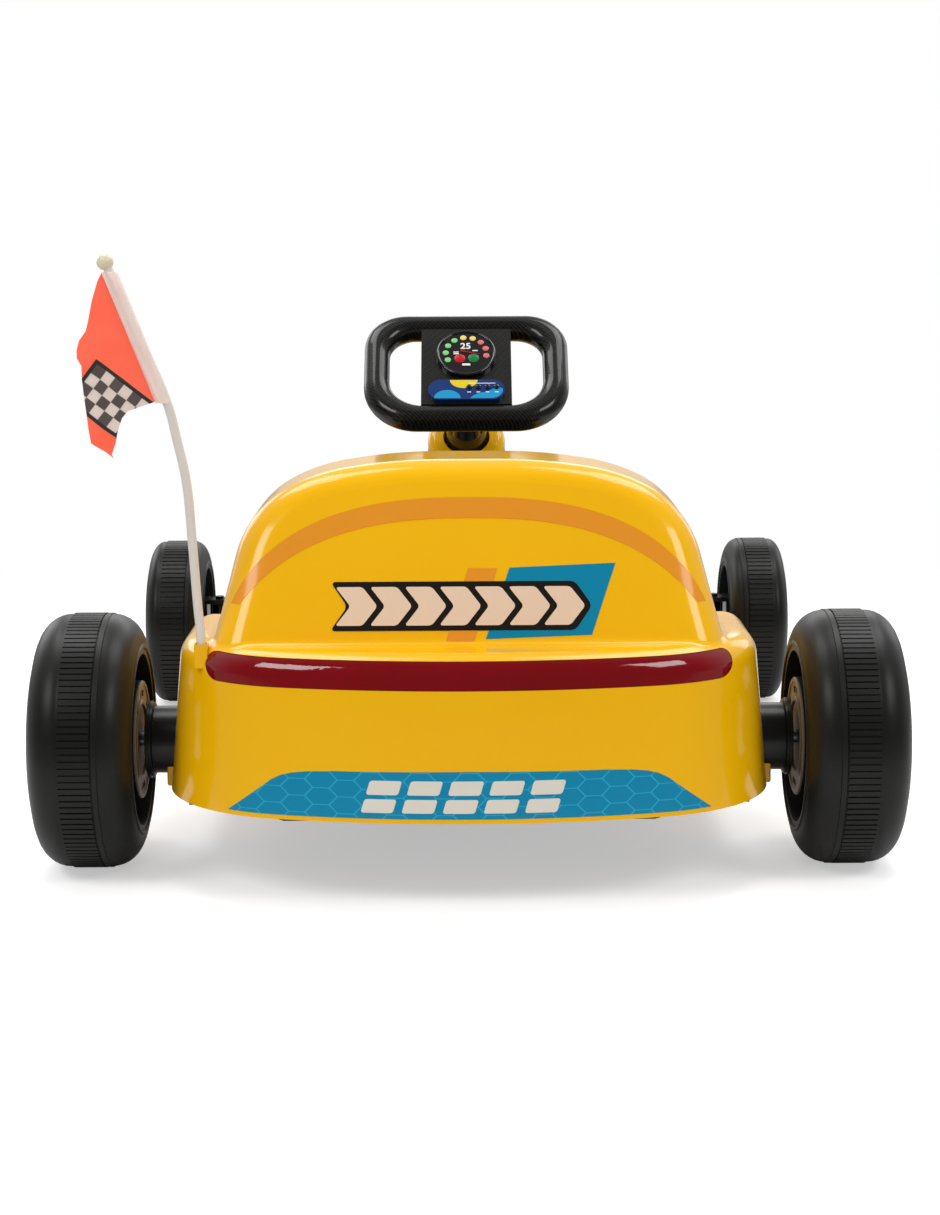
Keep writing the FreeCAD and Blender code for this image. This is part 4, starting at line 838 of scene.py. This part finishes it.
# %% [markdown]
# ## Tail lamp
# The lens is clear crimson plastic. Behind it a strip with fine upright ribs throws the light back,
# so the lens is deep red in its middle and bright where the ribs catch the light. That brightness is
# painted: the strip's colour turns pale red on the crest of every rib, as a painted highlight. Both
# are solids of the frame. Plain red paint would look like a sticker, so the lens lets nearly half of
# the light through, and the ribs are a wave in the strip's own shader, which gives their bump and
# their painted highlights.

# %% Tail lamp
RIB_STEP = 4 * MM


def lens():
    """Crimson plastic that lets nearly half of the light through to the strip behind it."""
    material = moulded(
        "crimson lens", paint(172, 0, 18), paint(140, 0, 14), rough=0.07, grain=0.0010,
        grain_depth=0.000002, wave=0.0004, coat=0.5, coat_rough=0.03, specular=0.3)
    fill(material.node_tree.nodes["Principled BSDF"], Transmission_Weight=0.45, IOR=1.49)
    return material


def ribbed_strip_with_painted_highlights():
    """A silvery strip with upright ribs, each with a painted highlight of pale red along its crest."""
    material, tree, skin, place = new_finish("ribbed reflector, crests painted pale")
    ribs = bands(tree, place, RIB_STEP)
    bump = node(tree, "ShaderNodeBump", Strength=1.0, Distance=0.0012, Height=ribs)
    # The colour follows the same wave as the bump: dark red between the ribs, and pale red on each crest
    # as a painted highlight.
    fill(
        skin, Base_Color=tinted(tree, ribs, paint(110, 14, 20), paint(225, 100, 100)), Metallic=0.7,
        Roughness=0.25, Normal=bump.outputs["Normal"])
    return material


dress(lens(), "tail_lamp")
dress(ribbed_strip_with_painted_highlights(), "lamp_reflector")
print("lamp: lens and strip with a rib every", round(RIB_STEP / MM, 1), "mm")

# %% [markdown]
# ## Steering wheel
# The wheel is covered in a glossy woven print, a twill whose lines run down to the right. The weave
# is too fine to model. Two waves across each other, turned into the plane of the raked panel, give
# its pattern and a slight relief, under a clear coat that carries the highlights.

# %% Steering wheel
TWILL_PITCH = 2.6 * MM
RAKE = math.radians(45)
WHEEL_AT = middle_of("steering_wheel")


def twill(name, pitch, dark, light):
    """A woven print in the plane of the raked panel, under clear gloss."""
    material, tree, skin, place = new_finish(name)
    threads = []
    for angle, spacing in ((-48, pitch), (42, pitch * 2)):
        turned = node(
            tree, "ShaderNodeMapping", Vector=place, Rotation=(-RAKE, 0, math.radians(angle)))
        threads.append(bands(tree, turned.outputs[0], spacing))
    mix = node(tree, "ShaderNodeMix", data_type="FLOAT", Factor=0.25, A=threads[0], B=threads[1])
    weave = mix.outputs["Result"]
    tone = node(tree, "ShaderNodeValToRGB", Fac=weave)
    for end, (position, colour) in zip(tone.color_ramp.elements, ((0.38, dark), (0.75, light))):
        end.position = position
        end.color = colour
    bump = node(tree, "ShaderNodeBump", Strength=0.5, Distance=0.00008, Height=weave)
    fill(
        skin, Base_Color=tone.outputs["Color"], Roughness=0.3, Coat_Weight=0.45, Coat_Roughness=0.04,
        Specular_IOR_Level=0.2, Normal=bump.outputs["Normal"])
    return material


GLOSS = moulded(
    "gloss black plastic", paint(14, 14, 15), paint(10, 10, 11), rough=0.12, grain=0.0008,
    grain_depth=0.000002, coat=0.6, coat_rough=0.03)
dress(twill("black twill print", TWILL_PITCH, paint(4, 4, 4), paint(32, 31, 27)), "steering_wheel")
dress(GLOSS, "dial", "column_sleeve")
print("steering wheel centre", [round(v, 4) for v in WHEEL_AT])

# %% [markdown]
# ## Tools for the panel
# The steering wheel's panel carries a round dial and a small strip with four buttons. Their small
# pieces could be modelled on the slant, but it is easier to draw them flat at the origin, in
# millimetres across and up, and then to turn each onto the raked panel in the same way.

# %% Tools for the panel
FACE = 14 * MM
PRINTS = {
    "green": (128, 205, 130), "yellow": (240, 205, 110), "rose": (215, 110, 110), "red": (190, 26, 34),
    "deep green": (24, 120, 60), "white": (235, 235, 232), "navy": (20, 52, 112),
    "sun yellow": (226, 200, 40), "cyan": (24, 150, 200),
}
SIGNAL = {name: printed(f"{name} print", paint(*tone)) for name, tone in PRINTS.items()}


def onto_wheel(piece, material):
    """Turns a piece drawn flat at the origin onto the raked panel."""
    bpy.ops.object.mode_set(mode="OBJECT")
    piece.rotation_euler = (RAKE, 0, 0)
    piece.location = WHEEL_AT
    finish_piece(piece, "steering", material)


def print_flat(name, outline, material, rise=0.25, corner=0.0):
    """A thin raised print on the panel, from an outline of (across, up) in millimetres."""
    piece = drawn(name, [(x * MM, y * MM, FACE) for x, y in outline])
    if corner:
        bpy.ops.mesh.bevel(offset=corner * MM, segments=3, affect="VERTICES")
    bpy.ops.mesh.select_all(action="SELECT")
    pull((0, 0, rise * MM))
    outward()
    onto_wheel(piece, material)


def print_bar(name, left, right, foot, height, rise, corner=0.0):
    """A small white bar, where the real panel has a mark."""
    outline = [(left, foot), (right, foot), (right, foot + height), (left, foot + height)]
    print_flat(name, outline, SIGNAL["white"], rise, corner)


def disc(name, x, y, radius, rise, material, base=FACE, rounding=0.3):
    """A low round button or lamp on the panel."""
    bpy.ops.object.select_all(action="DESELECT")
    bpy.ops.mesh.primitive_cylinder_add(
        vertices=40, radius=radius * MM, depth=rise * MM, location=(x * MM, y * MM, base + rise * MM / 2))
    piece = named(name)
    bpy.ops.object.transform_apply(location=True)
    top = base + rise * MM
    pick(piece, "EDGE", lambda a, b: min(a.z, b.z) > top - 1e-5)
    bpy.ops.mesh.bevel(offset=rounding * MM, segments=3)
    onto_wheel(piece, material)


print("panel tools: onto_wheel, print_flat, print_bar, disc")

# %% [markdown]
# ## Dial
# The dial has a ring of nine small lamps from green to rose, a red needle, a red and a green button,
# three ticks, a mark and a number. The ring round it is a torus, and the lamps are one disc set
# at even angles. The number is a text made a mesh, which is the quickest way to clean digits.

# %% Dial
DIAL_Y = 13.5
BEZEL, BEZEL_THICK = 27.6 * MM, 1.5 * MM
LAMPS = ["green"] * 4 + ["yellow"] * 2 + ["rose"] * 3
LAMP_RING, LAMP_FROM, LAMP_STEP = 20, 206, 27
TICKS = ((-9.8, 0.6), (-9.8, -1.6), (8.6, 2.4))
bpy.ops.object.select_all(action="DESELECT")
bpy.ops.mesh.primitive_torus_add(
    major_radius=BEZEL, minor_radius=BEZEL_THICK, major_segments=96, minor_segments=16,
    location=(0, DIAL_Y * MM, FACE))
bezel = named("dial_bezel")
bpy.ops.object.transform_apply(location=True)
onto_wheel(bezel, GLOSS)
for i, shade in enumerate(LAMPS):
    angle = math.radians(LAMP_FROM - LAMP_STEP * i)
    across, up = LAMP_RING * math.cos(angle), DIAL_Y + LAMP_RING * math.sin(angle)
    disc(f"dial_lamp_{i + 1}", across, up, 3.1, 0.5, SIGNAL[shade])
disc("dial_red", -6.3, DIAL_Y - 7.0, 5.4, 0.5, SIGNAL["red"])
disc("dial_green", 7.2, DIAL_Y - 6.6, 5.4, 0.5, SIGNAL["deep green"])
needle = [(-5.5, DIAL_Y + 3.6), (-4.9, DIAL_Y + 1.9), (16, DIAL_Y - 2.6)]
print_flat("dial_needle", needle, SIGNAL["red"], 0.7)
print_bar("dial_mark", -4, 4, DIAL_Y - 16.2, 2.6, 0.3, 0.6)
for i, (x, y) in enumerate(TICKS):
    print_bar(f"dial_tick_{i + 1}", x - 2.6, x + 2.6, DIAL_Y + y, 1.3, 0.3)

bpy.ops.object.select_all(action="DESELECT")
bpy.ops.object.text_add(location=(-0.5 * MM, (DIAL_Y + 5.6) * MM, FACE))
number = bpy.context.object
number.name = "dial_number"
number.data.body = "25"
number.data.align_x = "CENTER"
number.data.size = 10.5 * MM
number.data.offset = 0.22 * MM
number.data.extrude = 0.25 * MM
bpy.ops.object.convert(target="MESH")
bpy.ops.object.transform_apply(location=True)
onto_wheel(named("dial_number"), SIGNAL["white"])
print("dial:", len(LAMPS), "lamps, needle, number")

# %% [markdown]
# ## Control strip
# The strip under the dial is dark blue, with a yellow sun, a lighter hill and a wave printed on it,
# four black buttons and small white marks. The sun and the hill are half discs from a formula. The
# wave has no formula, so its outline is listed point by point and its corners are rounded.

# %% Control strip
STRIP_Y = -33.0
BUTTONS, BUTTON_FROM, BUTTON_STEP = 4, 2.6, 8.9
dress(SIGNAL["navy"], "control_strip")
print_flat("strip_sun", arc((-2.5, STRIP_Y + 11.6), (13.5, 10.2), 180, 360, 12), SIGNAL["sun yellow"], 0.2)
print_flat("strip_hill", arc((-18.5, STRIP_Y - 11.4), (13, 10.5), 0, 180, 12), SIGNAL["cyan"], 0.2)
wave = [
    (3, -11.4), (26, -11.4), (32, -8.5), (35, -3.5), (35.2, 1), (31, 2.6), (26, 0.4), (20, -3.4),
    (13.5, -4.4), (8, -7),
]
print_flat("strip_wave", [(x, STRIP_Y + y) for x, y in wave], SIGNAL["cyan"], 0.2, 1.2)
for i in range(BUTTONS):
    x = BUTTON_FROM + BUTTON_STEP * i
    disc(f"strip_button_{i + 1}", x, STRIP_Y + 2.6, 2.7, 1.6, GLOSS, FACE + 0.2 * MM, 0.8)
    print_bar(f"strip_mark_{i + 1}", x - 1.8, x + 1.8, STRIP_Y - 4.2, 1.0, 0.35)
print_bar("strip_line", 2, 28, STRIP_Y + 7.0, 0.8, 0.3)
print("strip:", BUTTONS, "buttons")

# %% [markdown]
# ## Flag pole
# The pole is a milky plastic rod, bent by the wind of many rides. Straight lengths joined end to end
# would show their joints, so a curve is drawn through the pole's bends, given a round section and
# made a mesh.

# %% Flag pole
POLE_RADIUS = 3.8 * MM
BENDS = [
    (0, -6.1), (0, 1), (-2.4, 36), (-5.4, 86), (-9.2, 135.6), (-15.8, 168.5), (-22.6, 197.4),
    (-45.5, 252.9), (-68.4, 308.3),
]


def tube(name, points, radius):
    """A round rod along a smooth curve through points."""
    bpy.ops.object.select_all(action="DESELECT")
    bpy.ops.curve.primitive_bezier_curve_add(location=(0, 0, 0))
    rod = bpy.context.object
    rod.name = name
    bpy.ops.object.mode_set(mode="EDIT")
    bpy.ops.curve.select_all(action="SELECT")
    bpy.ops.curve.delete(type="VERT")
    for point in points:
        bpy.ops.curve.vertex_add(location=point)
    bpy.ops.curve.select_all(action="SELECT")
    bpy.ops.curve.handle_type_set(type="AUTOMATIC")
    bpy.ops.object.mode_set(mode="OBJECT")
    rod.data.bevel_depth = radius
    rod.data.bevel_resolution = 8
    rod.data.resolution_u = 12
    rod.data.use_fill_caps = True
    bpy.ops.object.convert(target="MESH")
    rod.data.name = name
    bpy.ops.object.mode_set(mode="EDIT")
    weld()
    outward()
    return rod


stem = middle_of("flag_socket")
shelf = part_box("flag_socket")[1].z
pole = tube("pole", [(stem.x + x * MM, stem.y, shelf + z * MM) for x, z in BENDS], POLE_RADIUS)
finish_piece(pole, "chassis", POLE, 60)
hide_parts("flag_pole")
print("pole:", len(pole.data.polygons), "faces, box", [round(v / MM, 1) for v in pole.dimensions])

# %% [markdown]
# ## Cloth
# The flag is a light woven cloth, and some light comes through it. Two waves make its threads, a
# slow noise makes it fade a little from place to place, and a translucent shader is mixed in. The
# sleeve of the flag is thinner still, so it also lets the pole be seen. In the flag's print there is
# a patch of chequers in a dark frame, laid over the colour by the shader on the flag's own slant.

# %% Cloth
THREAD = 0.9 * MM
SQUARE = 9 * MM
PATCH_AT = (-0.2895, -0.4345, 0.4075)
PATCH_HALF = (3 * SQUARE, 2 * SQUARE)
PATCH_SLANT = math.radians(38)
PATCH_FRAME = 3 * MM


def chequered(tree, place, under):
    """Lays a chequered patch with a dark frame over a colour, across the flag's slant."""
    turned = node(
        tree, "ShaderNodeMapping", vector_type="TEXTURE", Vector=place, Location=PATCH_AT,
        Rotation=(0, PATCH_SLANT, 0)).outputs[0]
    split = node(tree, "ShaderNodeSeparateXYZ", Vector=turned).outputs

    def inside(grow):
        masks = [
            reckon(tree, "LESS_THAN", reckon(tree, "ABSOLUTE", split[name]), half_size + grow)
            for name, half_size in zip("XZ", PATCH_HALF)]
        return reckon(tree, "MULTIPLY", *masks)

    squares = node(
        tree, "ShaderNodeTexChecker", Vector=turned, Scale=1 / SQUARE, Color1=paint(236, 226, 220),
        Color2=paint(120, 110, 106))
    framed = tinted(tree, inside(PATCH_FRAME), under, paint(78, 72, 68))
    return tinted(tree, inside(0.0), framed, squares.outputs["Color"])


def cloth(name, colour, patch=False, clear=0.0):
    """Thin woven cloth that lets some light through, with a chequered patch if asked."""
    material, tree, skin, place = new_finish(name)
    threads = [bands(tree, place, THREAD, direction) for direction in "XZ"]
    weave = reckon(tree, "ADD", *threads)
    bump = node(tree, "ShaderNodeBump", Strength=0.7, Distance=0.0001, Height=weave)
    slow = node(tree, "ShaderNodeTexNoise", Vector=place, Scale=30.0, Detail=3.0)
    faded = tuple(min(1.0, 1.12 * c + 0.01) for c in colour[:3]) + (1.0,)
    tone = tinted(tree, slow.outputs["Fac"], colour, faded)
    if patch:
        tone = chequered(tree, place, tone)
    fill(
        skin, Base_Color=tone, Roughness=0.75, Sheen_Weight=0.3, Sheen_Roughness=0.4,
        Normal=bump.outputs["Normal"])
    through = node(tree, "ShaderNodeBsdfTranslucent", Color=tone)
    both = mixed(tree, 0.5, skin.outputs[0], through.outputs[0])
    nothing = node(tree, "ShaderNodeBsdfTransparent")
    fill(tree.nodes["Material Output"], Surface=mixed(tree, clear, both, nothing.outputs[0]))
    return material


FLAG = cloth("salmon cloth", paint(255, 142, 112), patch=True)
SLEEVE = cloth("thin pinkish sleeve", paint(255, 238, 234), clear=0.4)
print("cloth:", FLAG.name, "and", SLEEVE.name)

# %% [markdown]
# ## Flag
# The flag hangs down on one side of its pole, so its lower corner is furthest from it. A cloth
# simulation would need a wind that nobody can name. The outline is drawn as the flag hangs, cut into
# a fine grid, and its folds are pushed in one by one, each with a soft reach round it: a fold is given
# by its place, its push and its reach, in millimetres. Then the sheet gets its thickness.

# %% Flag
FLAG_Y = middle_of("flag_pole").y
FLAG_GRID, FLAG_THICK = 3 * MM, 0.5 * MM
EDGE = [
    (-251.6, 408.2), (-266.1, 403.6), (-276, 400.0), (-281, 394.4), (-284.5, 384.8), (-287.3, 373.4),
    (-290.6, 364.6), (-288.4, 361.2), (-296.4, 367.4), (-306.4, 374), (-308.6, 389), (-311, 409.3),
    (-312.6, 425.6), (-312.1, 437), (-315.6, 443.3), (-315.8, 449.8), (-313.9, 457), (-308.4, 465),
    (-306.2, 473.8), (-302.4, 489.8), (-297.5, 505), (-294.1, 511.4),
]
FOLDS = [
    (-312, 440, -3.2, 20), (-300, 425, 3.0, 16), (-286, 415, -2.6, 15), (-300, 385, -3.4, 18),
    (-288, 370, 3.6, 16), (-303, 470, 2.4, 16), (-292, 455, -2.0, 14), (-275, 428, 1.6, 12),
]
flag = drawn("flag_sheet", [(x * MM, FLAG_Y, z * MM) for x, z in EDGE])
slice_up(0, -318 * MM, -250 * MM, FLAG_GRID)
slice_up(2, 360 * MM, 514 * MM, FLAG_GRID)
bpy.ops.mesh.select_all(action="SELECT")
bpy.ops.mesh.quads_convert_to_tris()
bpy.ops.mesh.tris_convert_to_quads()
for x, z, push, reach in FOLDS:
    pick(flag, "VERT", lambda v: max(abs(v.x - x * MM), abs(v.z - z * MM)) < 1.6 * MM)
    bpy.ops.transform.translate(
        value=(0, push * MM, 0), use_proportional_edit=True, proportional_edit_falloff="SMOOTH",
        proportional_size=reach * MM)
modify(flag, "SOLIDIFY", thickness=FLAG_THICK, offset=0)
bpy.ops.object.mode_set(mode="EDIT")
outward()
finish_piece(flag, "chassis", FLAG, 60)
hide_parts("flag_cloth")
print("flag: half of its faces' area", round(sum(f.area for f in flag.data.polygons) / 2, 5), "m2")

# %% [markdown]
# ## Flag sleeve
# The flag is slipped over the pole with a sleeve of thin cloth. Its section is a loop round the pole
# whose two ends lie against the flag. The loop is drawn once at the foot, pulled up along the pole
# to the tip, and given a wall.

# %% Flag sleeve
SLEEVE_FOOT, SLEEVE_TIP = (-245.4, 406.6), (-286.2, 512)
SLEEVE_RADIUS, SLEEVE_TAIL, SLEEVE_GAP, SLEEVE_WALL = 5.2, -8, 0.9, 0.35 * MM
foot, tip = (Vector((x * MM, FLAG_Y, z * MM)) for x, z in (SLEEVE_FOOT, SLEEVE_TIP))
loop = arc((0, 0), (SLEEVE_RADIUS, SLEEVE_RADIUS), 140, -140, 14)
loop = [(SLEEVE_TAIL, SLEEVE_GAP)] + loop + [(SLEEVE_TAIL, -SLEEVE_GAP)]
loop = [foot + Vector((x * MM, y * MM, 0)) for x, y in loop + loop[:1]]
sleeve = start("flag_sleeve", loop[0])
draw(loop)
weld()
bpy.ops.mesh.select_all(action="SELECT")
pull(tip - foot)
outward()
modify(sleeve, "SOLIDIFY", thickness=SLEEVE_WALL)
finish_piece(sleeve, "chassis", SLEEVE, 40)
print("sleeve:", len(sleeve.data.polygons), "faces")
